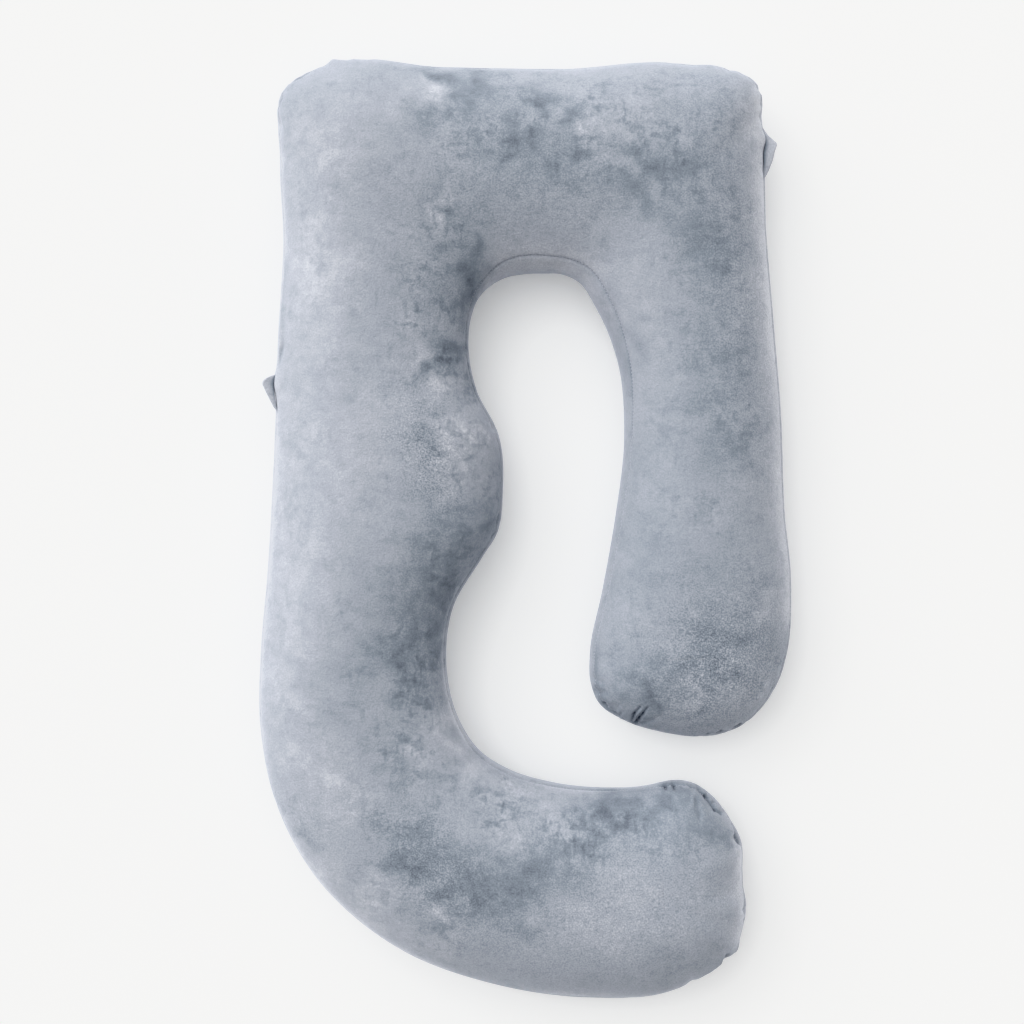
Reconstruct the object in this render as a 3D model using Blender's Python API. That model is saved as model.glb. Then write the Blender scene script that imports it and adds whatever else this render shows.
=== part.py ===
"""A body pillow: one long filled cushion bent like a crook, with two small tabs sewn into its edge.

Units are metres and +Z is up. The pillow lies on its back on the plane z = 0, with its long side along Y
and the short arm of the crook at +X. The origin is the middle of its box, on that plane.

The real pillow is two panels of pile cloth, cut alike and sewn together round their edge, with one soft
filling. Its surface here is a loft between unlike half sections. Each starts at the spine, a line along
the middle of the pillow, runs over the crown and out to the seam, and back under to the face on which
the pillow lies. The half sections pass round the whole edge, and fan out round both ends.
"""

from collections import namedtuple

import bmesh
import bpy
import numpy as np

# ---- Driving dimensions ------------------------------------------------------------------------------
THICKNESS = 0.176          # height of the crown where the pillow is fullest
WIDEST_LEVEL = 0.46        # height of the widest level, as a share of the crown
SETTLE = 0.010             # how far the round underside would reach below the surface it lies on
UPPER_ROUNDNESS = 2.3      # 2 is an ellipse, and more is squarer
LOWER_ROUNDNESS = 2.4
SEAM_DEPTH = 0.004         # how far the stitches draw the cloth in
SEAM_HALF_WIDTH = 0.007
END_RIB_SPACING = 0.010    # between half sections, round the two ends
UPPER_STEPS = 8            # rows of faces from the crown to the seam
SIDE_STEPS = 5             # and from the seam to the surface
CROWN_EASE = 1.6           # above 1, these rows lie closer together near the seam
SIDE_EASE = 1.3
MERGE_DISTANCE = 1e-5

# ---- The pillow's course -----------------------------------------------------------------------------
# One row for each section across the pillow, from the end of the short arm, over the top and down the
# long side, to the end of the leg. inner and outer are the widest points of the two sides. fullness is
# the crown's height as a share of THICKNESS, the insets say how far the seam lies in from the widest
# point, and ribs is the number of half sections up to the next row.
Section = namedtuple("Section", "inner_x inner_y outer_x outer_y fullness inner_inset outer_inset ribs")
SECTIONS = [
    Section(0.095, -0.189, 0.389, -0.189, 0.92, 0.004, 0.003, 4),     # short arm, where its end begins
    Section(0.114, -0.092, 0.396, -0.092, 0.94, 0.005, 0.002, 4),
    Section(0.132, 0.015, 0.386, 0.027, 0.93, 0.006, 0.002, 4),
    Section(0.148, 0.135, 0.380, 0.176, 0.92, 0.008, 0.002, 4),
    Section(0.139, 0.246, 0.370, 0.302, 0.92, 0.013, 0.002, 4),
    Section(0.108, 0.325, 0.359, 0.436, 0.94, 0.018, 0.002, 10),
    Section(0.077, 0.369, 0.353, 0.593, 0.97, 0.019, 0.003, 5),
    Section(0.053, 0.379, 0.346, 0.658, 0.98, 0.020, 0.003, 6),       # first top corner
    Section(0.026, 0.380, 0.232, 0.690, 0.97, 0.021, 0.002, 5),
    Section(-0.002, 0.379, 0.059, 0.683, 0.95, 0.020, 0.002, 5),
    Section(-0.028, 0.374, -0.127, 0.686, 0.95, 0.016, 0.002, 5),
    Section(-0.050, 0.362, -0.284, 0.695, 0.97, 0.010, 0.002, 7),
    Section(-0.068, 0.344, -0.361, 0.651, 0.98, 0.006, 0.003, 5),     # second top corner
    Section(-0.080, 0.314, -0.367, 0.548, 0.98, 0.004, 0.003, 4),
    Section(-0.084, 0.270, -0.361, 0.429, 0.97, 0.003, 0.003, 5),
    Section(-0.072, 0.205, -0.369, 0.272, 0.98, 0.003, 0.006, 7),
    Section(-0.039, 0.138, -0.374, 0.153, 1.00, 0.002, 0.002, 4),     # the long side's full middle
    Section(-0.034, 0.054, -0.377, 0.042, 1.00, 0.002, 0.002, 4),
    Section(-0.065, -0.045, -0.383, -0.070, 0.99, 0.003, 0.002, 4),
    Section(-0.107, -0.118, -0.392, -0.182, 0.98, 0.003, 0.002, 4),
    Section(-0.117, -0.200, -0.393, -0.293, 0.98, 0.002, 0.002, 4),
    Section(-0.099, -0.283, -0.373, -0.398, 0.98, 0.002, 0.002, 5),   # the bend at the foot
    Section(-0.068, -0.331, -0.309, -0.520, 0.98, 0.003, 0.002, 5),
    Section(-0.023, -0.360, -0.187, -0.624, 0.98, 0.003, 0.002, 5),
    Section(0.036, -0.378, -0.045, -0.677, 0.97, 0.002, 0.002, 5),
    Section(0.114, -0.387, 0.096, -0.697, 0.96, 0.001, 0.002, 4),
    Section(0.188, -0.380, 0.212, -0.689, 0.95, 0.001, 0.002, 0),     # leg, where its end begins
]

# The rounded ends: one row for each rib that fans out from the spine's end, anticlockwise from above.
Rim = namedtuple("Rim", "direction_deg reach inset")
LEG_END = [
    Rim(294, 0.150, 0.002),
    Rim(309, 0.150, 0.002),
    Rim(322, 0.149, 0.003),
    Rim(342, 0.137, 0.002),
    Rim(0, 0.130, 0.002),
    Rim(17, 0.132, 0.003),
    Rim(34, 0.142, 0.006),
    Rim(48, 0.150, 0.007),
    Rim(62, 0.158, 0.005),
    Rim(77, 0.164, 0.002),
]
ARM_END = [
    Rim(195, 0.153, 0.004),
    Rim(208, 0.149, 0.004),
    Rim(223, 0.138, 0.003),
    Rim(246, 0.125, 0.003),
    Rim(282, 0.125, 0.003),
    Rim(304, 0.130, 0.003),
    Rim(325, 0.136, 0.004),
    Rim(345, 0.141, 0.004),
]

# ---- Puckers -----------------------------------------------------------------------------------------
# Where the seam is gathered in. (x, y) is the place on the edge, width the half width along the seam,
# reach how far the fold runs up over the crown, and lean how far it slants per metre of that run.
Pucker = namedtuple("Pucker", "x y depth width reach lean")
PUCKERS = [
    Pucker(0.118, -0.261, 0.006, 0.012, 0.040, 0.3),      # short arm's end
    Pucker(0.162, -0.290, 0.011, 0.011, 0.055, 0.6),
    Pucker(0.196, -0.302, 0.006, 0.011, 0.035, 0.0),
    Pucker(0.281, -0.310, 0.009, 0.011, 0.045, 0.4),
    Pucker(0.313, -0.296, 0.008, 0.012, 0.045, 0.5),
    Pucker(0.222, -0.378, 0.010, 0.010, 0.035, 0.0),      # leg's end
    Pucker(0.264, -0.395, 0.011, 0.011, 0.050, -0.6),
    Pucker(0.304, -0.441, 0.009, 0.012, 0.040, -0.5),
    Pucker(0.330, -0.567, 0.005, 0.014, 0.035, 0.0),
    Pucker(0.300, -0.639, 0.011, 0.011, 0.045, 0.3),
    Pucker(0.248, -0.676, 0.007, 0.012, 0.040, 0.0),
    Pucker(-0.366, 0.607, 0.006, 0.014, 0.045, 0.0),      # top corners
    Pucker(-0.336, 0.667, 0.008, 0.014, 0.050, 0.0),
    Pucker(0.322, 0.676, 0.007, 0.014, 0.050, 0.0),
    Pucker(0.352, 0.636, 0.005, 0.014, 0.040, 0.0),
]
PUCKER_REACH_BELOW = 0.6   # a pucker runs down the side this share of its run up over the crown

# ---- Tabs --------------------------------------------------------------------------------------------
# Each is a strip of the same cloth, folded once lengthwise with its fold outwards and held in the seam at
# its two ends. (x, y) is its upper end on the seam, length runs down the seam, and width is from the
# seam to the tip.
Tab = namedtuple("Tab", "name x y length width")
TABS = [
    Tab("tab_right", 0.353, 0.596, 0.075, 0.023),
    Tab("tab_left", -0.371, 0.229, 0.052, 0.020),
]
# The strip's width, and how far it stands off between its ends, as shares, from its upper end down.
TabStep = namedtuple("TabStep", "along width stand_off")
TAB_STEPS = [
    TabStep(0.00, 0.30, 0.0),
    TabStep(0.14, 0.52, 0.3),
    TabStep(0.30, 1.00, 0.5),
    TabStep(0.46, 0.93, 0.5),
    TabStep(0.62, 0.78, 0.7),
    TabStep(0.80, 0.56, 1.0),
    TabStep(0.92, 0.40, 0.6),
    TabStep(1.00, 0.30, 0.0),
]
TAB_LAYER = 0.0018         # thickness of one layer of the cloth
TAB_OPEN_HALF = 0.0006     # half the space between its two layers
TAB_SEAT = 0.0015          # from the drawn-in seam to the strip, where the strip is held
TAB_BOW = 0.0030           # how much further it bows out between
TAB_NOSE_ANGLES = np.radians([90, 45, 0, -45, -90])
SEAM_READING = 0.001       # step at which the seam is read to place a tab's end

VELOUR_BLUE_GREY = (0.36, 0.38, 0.44, 1.0)
VELOUR_ROUGHNESS = 0.92


def closed_curve(places, values, length):
    """Return a function that gives a smooth closed curve, which passes through values at places.

    Each stretch is a cubic. Its slope at a place is that of the parabola through that place and the two
    beside it.
    """
    steps = np.diff(np.append(places, places[0] + length))[:, None]
    chords = (np.roll(values, -1, axis=0) - values) / steps
    steps_before = np.roll(steps, 1, axis=0)
    slopes = (np.roll(chords, 1, axis=0) * steps + chords * steps_before) / (steps + steps_before)
    next_values, next_slopes = np.roll(values, -1, axis=0), np.roll(slopes, -1, axis=0)

    def at(wanted):
        wanted = wanted % length
        k = np.searchsorted(places, wanted, side="right") - 1
        step = steps[k]
        t = (wanted - places[k])[:, None] / step
        return (values[k] * (1 + 2 * t) * (1 - t) ** 2 + next_values[k] * t * t * (3 - 2 * t)
                + slopes[k] * step * t * (1 - t) ** 2 - next_slopes[k] * step * t * t * (1 - t))

    return at


def section_sides():
    """The sections' two sides as rows of x, y, fullness and inset: the outer one and the inner one."""
    outer = np.array([(s.outer_x, s.outer_y, s.fullness, s.outer_inset) for s in SECTIONS])
    inner = np.array([(s.inner_x, s.inner_y, s.fullness, s.inner_inset) for s in SECTIONS])
    return outer, inner


def end_rows(rims, section):
    """The ribs round one end, whose centre is the middle of the last section, as x, y, fullness, inset."""
    centre_x = (section.inner_x + section.outer_x) / 2
    centre_y = (section.inner_y + section.outer_y) / 2
    return np.array([(centre_x + rim.reach * np.cos(np.radians(rim.direction_deg)),
                      centre_y + rim.reach * np.sin(np.radians(rim.direction_deg)),
                      section.fullness, rim.inset) for rim in rims])


def between(places, counts):
    """Divide each stretch between neighbouring places evenly, and leave out the last place."""
    return np.concatenate([np.linspace(a, b, n, endpoint=False)
                           for a, b, n in zip(places[:-1], places[1:], counts)])


def ribs():
    """Where the half sections stand, anticlockwise round the edge: feet, rims, crowns and insets.

    A rib's foot is its end on the spine, and its rim is the pillow's widest point. Across a section, the
    foot is midway between the two rims, so both sides share it, and round an end all ribs share one.
    """
    outer, inner = section_sides()
    leg = end_rows(LEG_END, SECTIONS[-1])
    arm = end_rows(ARM_END, SECTIONS[0])
    rows = np.concatenate([outer, leg, inner[::-1], arm])
    chords = np.linalg.norm(np.diff(rows[:, :2], axis=0, append=rows[:1, :2]), axis=1)
    places = np.concatenate([[0], np.cumsum(chords)[:-1]])
    length = chords.sum()
    edge = closed_curve(places, rows, length)

    last = len(SECTIONS) - 1
    leg_stop = len(SECTIONS) + len(LEG_END)
    inner_stop = leg_stop + last
    counts = [s.ribs for s in SECTIONS[:-1]]
    ends = np.append(places, length)
    end_counts = np.maximum(1, np.round(np.diff(ends) / END_RIB_SPACING)).astype(int)
    outer_at = np.append(between(ends[:last + 1], counts), ends[last])
    leg_at = between(ends[last:leg_stop + 1], end_counts[last:leg_stop])[1:]
    inner_at = np.append(between(ends[leg_stop:inner_stop + 1], counts[::-1]), ends[inner_stop])
    arm_at = between(ends[inner_stop:], end_counts[inner_stop:])[1:]

    outer_side, inner_side = edge(outer_at), edge(inner_at)
    spine = (outer_side + inner_side[::-1]) / 2
    around = np.concatenate([outer_side, edge(leg_at), inner_side, edge(arm_at)])
    middle = np.concatenate([spine, np.repeat(spine[-1:], len(leg_at), axis=0), spine[::-1],
                             np.repeat(spine[:1], len(arm_at), axis=0)])
    return middle[:, :2], around[:, :2], middle[:, 2] * THICKNESS, around[:, 3]


def half_sections(feet, rims, crowns, insets):
    """Return the grid of points, ribs by rows, of the plain stuffed shape.

    Above the widest level, a half section is a quarter of a superellipse, out = cos(a) ^ (2 / n) and
    up = sin(a) ^ (2 / n), which ends on the seam. Below, a second one reaches SETTLE below the surface,
    and stops where it meets it. The last row is under the spine.
    """
    reach = np.linalg.norm(rims - feet, axis=1)[:, None]
    widest = WIDEST_LEVEL * crowns[:, None]
    above, below = crowns[:, None] - widest, widest + SETTLE
    seam = np.arccos((1 - insets[:, None] / reach) ** (UPPER_ROUNDNESS / 2))
    floor = -np.arcsin((widest / below) ** (LOWER_ROUNDNESS / 2))
    up_share = np.linspace(1, 0, UPPER_STEPS + 1) ** CROWN_EASE
    down_share = np.linspace(0, 1, SIDE_STEPS + 1)[1:] ** SIDE_EASE
    angle = np.hstack([seam + (np.pi / 2 - seam) * up_share, seam + (floor - seam) * down_share])
    power = np.where(angle > 0, 2 / UPPER_ROUNDNESS, 2 / LOWER_ROUNDNESS)
    out = np.abs(np.cos(angle)) ** power
    rise = np.sign(angle) * np.abs(np.sin(angle)) ** power * np.where(angle > 0, above, below)
    height = np.maximum(widest + rise, 0)
    flat = feet[:, None, :] + out[..., None] * (rims - feet)[:, None, :]
    grid = np.concatenate([flat, height[..., None]], axis=2)
    under_spine = np.column_stack([feet, np.zeros(len(feet))])[:, None, :]
    return np.concatenate([grid, under_spine], axis=1)


def outward(grid):
    """Unit normals of a grid that is closed from rib to rib; zero where the ribs run together."""
    along = np.roll(grid, -1, axis=0) - np.roll(grid, 1, axis=0)
    across = np.gradient(grid, axis=1)
    normal = np.cross(across, along)
    size = np.linalg.norm(normal, axis=2, keepdims=True)
    return np.where(size > 1e-12, normal / np.maximum(size, 1e-12), 0)


def draw_in(grid):
    """Pull the cloth in along the seam and at the puckers.

    The seam's groove is a cusp, depth * exp(-distance / half width). A pucker is a bell along the seam
    times a bell across it, each exp(-(distance / size) ^ 2).
    """
    seam = grid[:, UPPER_STEPS]
    step = np.linalg.norm(np.diff(grid, axis=1), axis=2)
    run = np.concatenate([np.zeros((len(grid), 1)), np.cumsum(step, axis=1)], axis=1)
    from_seam = run[:, UPPER_STEPS:UPPER_STEPS + 1] - run
    depth = SEAM_DEPTH * np.exp(-np.abs(from_seam) / SEAM_HALF_WIDTH)

    seam_step = np.linalg.norm(np.roll(seam, -1, axis=0) - seam, axis=1)
    seam_run = np.cumsum(seam_step) - seam_step
    length = seam_step.sum()
    for pucker in PUCKERS:
        nearest = np.argmin(np.hypot(seam[:, 0] - pucker.x, seam[:, 1] - pucker.y))
        along = (seam_run - seam_run[nearest] + length / 2) % length - length / 2
        off_line = along[:, None] - pucker.lean * from_seam
        reach = np.where(from_seam > 0, pucker.reach, pucker.reach * PUCKER_REACH_BELOW)
        depth += pucker.depth * np.exp(-(off_line / pucker.width) ** 2 - (from_seam / reach) ** 2)

    drawn = grid - outward(grid) * depth[..., None]
    drawn[..., 2] = np.maximum(drawn[..., 2], 0)
    drawn[:, SIDE_STEPS + UPPER_STEPS:, 2] = 0
    return drawn


def pillow_grid():
    """The finished surface, with the middle of its box on the origin."""
    grid = draw_in(half_sections(*ribs()))
    low, high = grid.min(axis=(0, 1)), grid.max(axis=(0, 1))
    grid[..., :2] -= ((low + high) / 2)[:2]
    return grid


def grid_faces(count, rows, closed_across=False):
    """Quads of a grid that is closed from rib to rib, or open along and closed across."""
    if closed_across:
        i, j = np.meshgrid(np.arange(count - 1), np.arange(rows), indexing="ij")
    else:
        i, j = np.meshgrid(np.arange(count), np.arange(rows - 1), indexing="ij")
    next_i, next_j = (i + 1) % count, (j + 1) % rows
    corners = [i * rows + j, i * rows + next_j, next_i * rows + next_j, next_i * rows + j]
    return np.stack(corners, axis=-1).reshape(-1, 4).tolist()


def cloth(name, colour):
    """The cover's pile cloth."""
    material = bpy.data.materials.new(name)
    material.use_nodes = True
    shader = material.node_tree.nodes["Principled BSDF"]
    shader.inputs["Base Color"].default_value = colour
    shader.inputs["Roughness"].default_value = VELOUR_ROUGHNESS
    shader.inputs["Metallic"].default_value = 0.0
    return material


def add_object(name, vertices, faces, material, collection):
    """One named object of one closed mesh, smooth shaded."""
    mesh = bpy.data.meshes.new(name)
    mesh.from_pydata(vertices.reshape(-1, 3).tolist(), [], faces)
    shape = bmesh.new()
    shape.from_mesh(mesh)
    bmesh.ops.remove_doubles(shape, verts=shape.verts, dist=MERGE_DISTANCE)
    bmesh.ops.recalc_face_normals(shape, faces=shape.faces)
    shape.to_mesh(mesh)
    shape.free()
    mesh.shade_smooth()
    mesh.materials.append(material)
    thing = bpy.data.objects.new(name, mesh)
    collection.objects.link(thing)
    return thing


def tab_profile(width, stand_off):
    """The folded strip's section, as (out, up) points: over its nose, and back between its layers."""
    half = TAB_OPEN_HALF + TAB_LAYER
    nose = width - half
    outer = [(nose + half * np.cos(a), half * np.sin(a)) for a in TAB_NOSE_ANGLES]
    inner = [(nose + TAB_OPEN_HALF * np.cos(a), TAB_OPEN_HALF * np.sin(a)) for a in TAB_NOSE_ANGLES[::-2]]
    return np.array([(stand_off, half), *outer, (stand_off, -half), (stand_off, -TAB_OPEN_HALF), *inner,
                     (stand_off, TAB_OPEN_HALF)])


def add_tab(tab, grid, material, collection):
    """Carry the folded strip's section down the seam from the tab's upper end."""
    seam = np.concatenate([grid, outward(grid)], axis=2)[:, UPPER_STEPS]
    seam = np.vstack([seam, seam[:1]])
    run = np.concatenate([[0], np.cumsum(np.linalg.norm(np.diff(seam[:, :3], axis=0), axis=1))])

    def seam_at(places):
        return np.column_stack([np.interp(places % run[-1], run, column) for column in seam.T])

    readings = np.arange(0, run[-1], SEAM_READING)
    upper_end = readings[np.argmin(np.linalg.norm(seam_at(readings)[:, :2] - (tab.x, tab.y), axis=1))]
    downwards = -1 if tab.x > 0 else 1
    steps = np.array(TAB_STEPS)
    held = seam_at(upper_end + downwards * tab.length * steps[:, 0])
    points, out = held[:, :3], held[:, 3:]
    up = np.cross(out, downwards * np.gradient(points, axis=0))
    up /= np.linalg.norm(up, axis=1, keepdims=True)
    profiles = np.array([tab_profile(tab.width * step.width, TAB_SEAT + TAB_BOW * step.stand_off)
                         for step in TAB_STEPS])
    strip = points[:, None] + profiles[..., :1] * out[:, None] + profiles[..., 1:] * up[:, None]
    count, rows = strip.shape[:2]
    caps = [list(range(rows)), list(range((count - 1) * rows, count * rows))]
    add_object(tab.name, strip, grid_faces(count, rows, closed_across=True) + caps, material, collection)


def main():
    for leftover in list(bpy.data.objects):
        bpy.data.objects.remove(leftover, do_unlink=True)
    collection = bpy.data.collections.new("body_pillow")
    bpy.context.scene.collection.children.link(collection)
    velour = cloth("velour", VELOUR_BLUE_GREY)
    grid = pillow_grid()
    add_object("pillow", grid, grid_faces(*grid.shape[:2]), velour, collection)
    for tab in TABS:
        add_tab(tab, grid, velour, collection)


main()
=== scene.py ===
# %% [markdown]
# # A body pillow in velour
#
# The object is one long stuffed pillow, bent like a crook, in a short-pile velour. Two panels of the
# cloth are cut alike, sewn together round their edge and filled with loose fibre, and two small folded
# tabs are caught in the seam. It is seen from straight above, lying on its back on a white floor.
#
# The model comes in three layers. The shape is worked out with numpy, as half sections that go all the
# way round the edge. A cloth simulation then puffs it, so that the cover gets the slack and the small
# swells of a stuffed thing. Last, the seam, the puckers and the folds are drawn in, because they are
# finer than any simulation that runs in a minute. On that shape the nap is brushed, with painted light
# and shade in its tone, and the tabs and the stitches are added to its seam.

# %% Load the imported model as a fixed frame
from collections import namedtuple

import bmesh
import bpy
import numpy as np
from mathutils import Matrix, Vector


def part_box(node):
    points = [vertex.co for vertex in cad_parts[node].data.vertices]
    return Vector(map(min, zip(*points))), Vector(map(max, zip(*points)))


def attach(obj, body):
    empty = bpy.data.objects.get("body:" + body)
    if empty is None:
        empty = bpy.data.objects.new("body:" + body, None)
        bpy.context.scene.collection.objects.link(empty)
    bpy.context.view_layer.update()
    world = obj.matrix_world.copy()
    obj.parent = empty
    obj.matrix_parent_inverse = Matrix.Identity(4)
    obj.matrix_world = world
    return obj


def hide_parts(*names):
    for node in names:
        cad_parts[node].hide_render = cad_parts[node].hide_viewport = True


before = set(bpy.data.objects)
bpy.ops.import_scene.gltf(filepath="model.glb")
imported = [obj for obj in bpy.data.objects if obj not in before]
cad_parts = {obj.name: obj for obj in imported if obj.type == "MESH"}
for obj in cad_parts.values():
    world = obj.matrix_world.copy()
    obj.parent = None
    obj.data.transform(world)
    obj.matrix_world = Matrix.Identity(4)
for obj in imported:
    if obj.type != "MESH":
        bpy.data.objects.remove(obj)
bpy.context.view_layer.update()
pillow_low, pillow_high = (np.array(corner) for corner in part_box("pillow"))

# %% [markdown]
# ## The camera
#
# The picture looks straight down, with the long side of the pillow up the image. A long lens from 3 m
# keeps the flanks short, as in the photo. The lens follows from how wide a strip of the scene the
# picture shows at half the pillow's height, so a reader can change either number and see why.

# %% Camera straight above
CAMERA_PLACE = (-0.020, 0.024, 3.0)
SEEN_WIDTH = 1.525         # width that the picture shows, at SEEN_HEIGHT above the floor
SEEN_HEIGHT = 0.08
SENSOR_MM = 36.0
SEEN_FAR = 1000.0          # nothing further off is drawn; past the floor's far edge

camera = bpy.data.objects.new("camera", bpy.data.cameras.new("camera"))
camera.data.sensor_width = SENSOR_MM
camera.data.lens = SENSOR_MM * (CAMERA_PLACE[2] - SEEN_HEIGHT) / SEEN_WIDTH
camera.location = CAMERA_PLACE
camera.data.clip_end = SEEN_FAR
bpy.context.scene.collection.objects.link(camera)
bpy.context.scene.camera = camera
print("camera lens, mm:", round(camera.data.lens, 1))

# %% [markdown]
# ## The pillow's course
#
# A cutter would lay the pillow out as an outline with a few marks on it. Here each mark is a section
# across the pillow: the widest points of its two sides, how high the filling stands between them, and
# how far the seam lies in from the widest point. The rows run from the end of the short arm, over the
# squarish top and down the long side, to the end of the leg. The two rounded ends are given as ribs that
# fan out from a centre, because no section across reaches round an end.

# %% Sections and ends, in metres
Section = namedtuple("Section", "inner_x inner_y outer_x outer_y fullness inner_inset outer_inset ribs")
SECTIONS = [
    Section(0.097, -0.189, 0.389, -0.189, 0.92, 0.004, 0.003, 4),     # short arm, where its end begins
    Section(0.116, -0.092, 0.396, -0.092, 0.94, 0.005, 0.002, 4),
    Section(0.135, 0.015, 0.386, 0.027, 0.93, 0.006, 0.002, 4),
    Section(0.148, 0.135, 0.380, 0.176, 0.92, 0.008, 0.002, 4),
    Section(0.139, 0.246, 0.370, 0.302, 0.92, 0.013, 0.002, 4),
    Section(0.108, 0.325, 0.359, 0.436, 0.94, 0.018, 0.002, 10),
    Section(0.077, 0.369, 0.353, 0.593, 0.97, 0.019, 0.003, 5),
    Section(0.053, 0.379, 0.346, 0.658, 0.98, 0.020, 0.003, 6),       # first top corner
    Section(0.026, 0.380, 0.232, 0.690, 0.97, 0.021, 0.002, 5),
    Section(-0.002, 0.379, 0.059, 0.683, 0.95, 0.020, 0.002, 5),
    Section(-0.028, 0.374, -0.127, 0.686, 0.95, 0.016, 0.002, 5),
    Section(-0.050, 0.362, -0.284, 0.692, 0.97, 0.010, 0.002, 7),
    Section(-0.068, 0.344, -0.359, 0.651, 0.98, 0.006, 0.003, 5),     # second top corner
    Section(-0.080, 0.314, -0.364, 0.548, 0.98, 0.004, 0.003, 4),
    Section(-0.084, 0.270, -0.3595, 0.429, 0.97, 0.003, 0.003, 5),
    Section(-0.072, 0.205, -0.3675, 0.272, 0.98, 0.003, 0.003, 7),
    Section(-0.039, 0.138, -0.371, 0.153, 1.00, 0.002, 0.002, 4),     # the long side's full middle
    Section(-0.033, 0.054, -0.376, 0.042, 1.00, 0.002, 0.002, 2),
    Section(-0.0405, -0.005, -0.379, -0.014, 1.00, 0.002, 0.002, 2),
    Section(-0.065, -0.045, -0.383, -0.070, 0.99, 0.003, 0.002, 4),
    Section(-0.107, -0.118, -0.392, -0.182, 0.98, 0.003, 0.002, 4),
    Section(-0.117, -0.200, -0.393, -0.293, 0.98, 0.002, 0.002, 4),
    Section(-0.099, -0.283, -0.373, -0.398, 0.98, 0.002, 0.002, 5),   # the bend at the foot
    Section(-0.068, -0.331, -0.309, -0.520, 0.98, 0.003, 0.002, 5),
    Section(-0.023, -0.360, -0.187, -0.624, 0.98, 0.003, 0.002, 5),
    Section(0.036, -0.378, -0.045, -0.677, 0.97, 0.002, 0.002, 5),
    Section(0.114, -0.387, 0.096, -0.697, 0.96, 0.001, 0.002, 4),
    Section(0.188, -0.383, 0.212, -0.689, 0.95, 0.001, 0.002, 0),     # leg, where its end begins
]
Rim = namedtuple("Rim", "direction_deg reach inset")
LEG_END = [
    Rim(294, 0.1455, 0.002),
    Rim(306, 0.1455, 0.002),
    Rim(313, 0.1450, 0.002),
    Rim(319, 0.1480, 0.003),
    Rim(333, 0.1375, 0.002),
    Rim(348, 0.1330, 0.002),
    Rim(2, 0.1245, 0.002),
    Rim(12, 0.1260, 0.002),
    Rim(30, 0.1405, 0.002),
    Rim(47, 0.1490, 0.002),
    Rim(63, 0.1600, 0.002),
    Rim(73, 0.1640, 0.002),
    Rim(82, 0.1612, 0.002),
    Rim(88, 0.1572, 0.002),
]
ARM_END = [
    Rim(195, 0.1505, 0.004),
    Rim(208, 0.1510, 0.004),
    Rim(221, 0.1405, 0.003),
    Rim(242, 0.1245, 0.003),
    Rim(257, 0.1198, 0.003),
    Rim(270, 0.1205, 0.003),
    Rim(291, 0.1265, 0.003),
    Rim(309, 0.1315, 0.003),
    Rim(327, 0.1345, 0.004),
    Rim(346, 0.1400, 0.004),
]
THICKNESS = pillow_high[2] - pillow_low[2]      # height of the crown where the pillow is fullest
print(len(SECTIONS), "sections,", len(LEG_END), "and", len(ARM_END), "ribs at the ends")

# %% [markdown]
# ## Ribs all the way round
#
# The mesh has to be even, and its rows have to follow the seam, or a groove as narrow as a seam breaks
# into steps. So the edge is one smooth closed curve through all the marks, and a rib stands on it every
# few millimetres: closer round the ends, where the folds are. Each rib runs in to the spine. Sculpting
# over a remeshed blob would be quicker to start, but its faces cross the seam at every angle.

# %% The edge, the spine and the ribs between them
FINER = 3                  # each rib of a section table becomes this many
END_RIB_SPACING = 0.0022


def closed_curve(places, values, length):
    """Return a smooth closed curve through values at places.

    Each stretch is a cubic. Its slope at a place is that of the parabola through that place and the two
    beside it.
    """
    steps = np.diff(np.append(places, places[0] + length))[:, None]
    chords = (np.roll(values, -1, axis=0) - values) / steps
    steps_before = np.roll(steps, 1, axis=0)
    slopes = (np.roll(chords, 1, axis=0) * steps + chords * steps_before) / (steps + steps_before)
    next_values, next_slopes = np.roll(values, -1, axis=0), np.roll(slopes, -1, axis=0)

    def at(wanted):
        wanted = wanted % length
        k = np.searchsorted(places, wanted, side="right") - 1
        step = steps[k]
        t = (wanted - places[k])[:, None] / step
        return (values[k] * (1 + 2 * t) * (1 - t) ** 2 + next_values[k] * t * t * (3 - 2 * t)
                + slopes[k] * step * t * (1 - t) ** 2 - next_slopes[k] * step * t * t * (1 - t))

    return at


def end_rows(rims, section):
    """The ribs round one end, from the middle of the last section, as x, y, fullness and inset."""
    centre_x = (section.inner_x + section.outer_x) / 2
    centre_y = (section.inner_y + section.outer_y) / 2
    return np.array([(centre_x + rim.reach * np.cos(np.radians(rim.direction_deg)),
                      centre_y + rim.reach * np.sin(np.radians(rim.direction_deg)),
                      section.fullness, rim.inset) for rim in rims])


def between(places, counts):
    """Divide each stretch between neighbouring places evenly, and leave out the last place."""
    return np.concatenate([np.linspace(a, b, n, endpoint=False)
                           for a, b, n in zip(places[:-1], places[1:], counts)])


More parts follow.
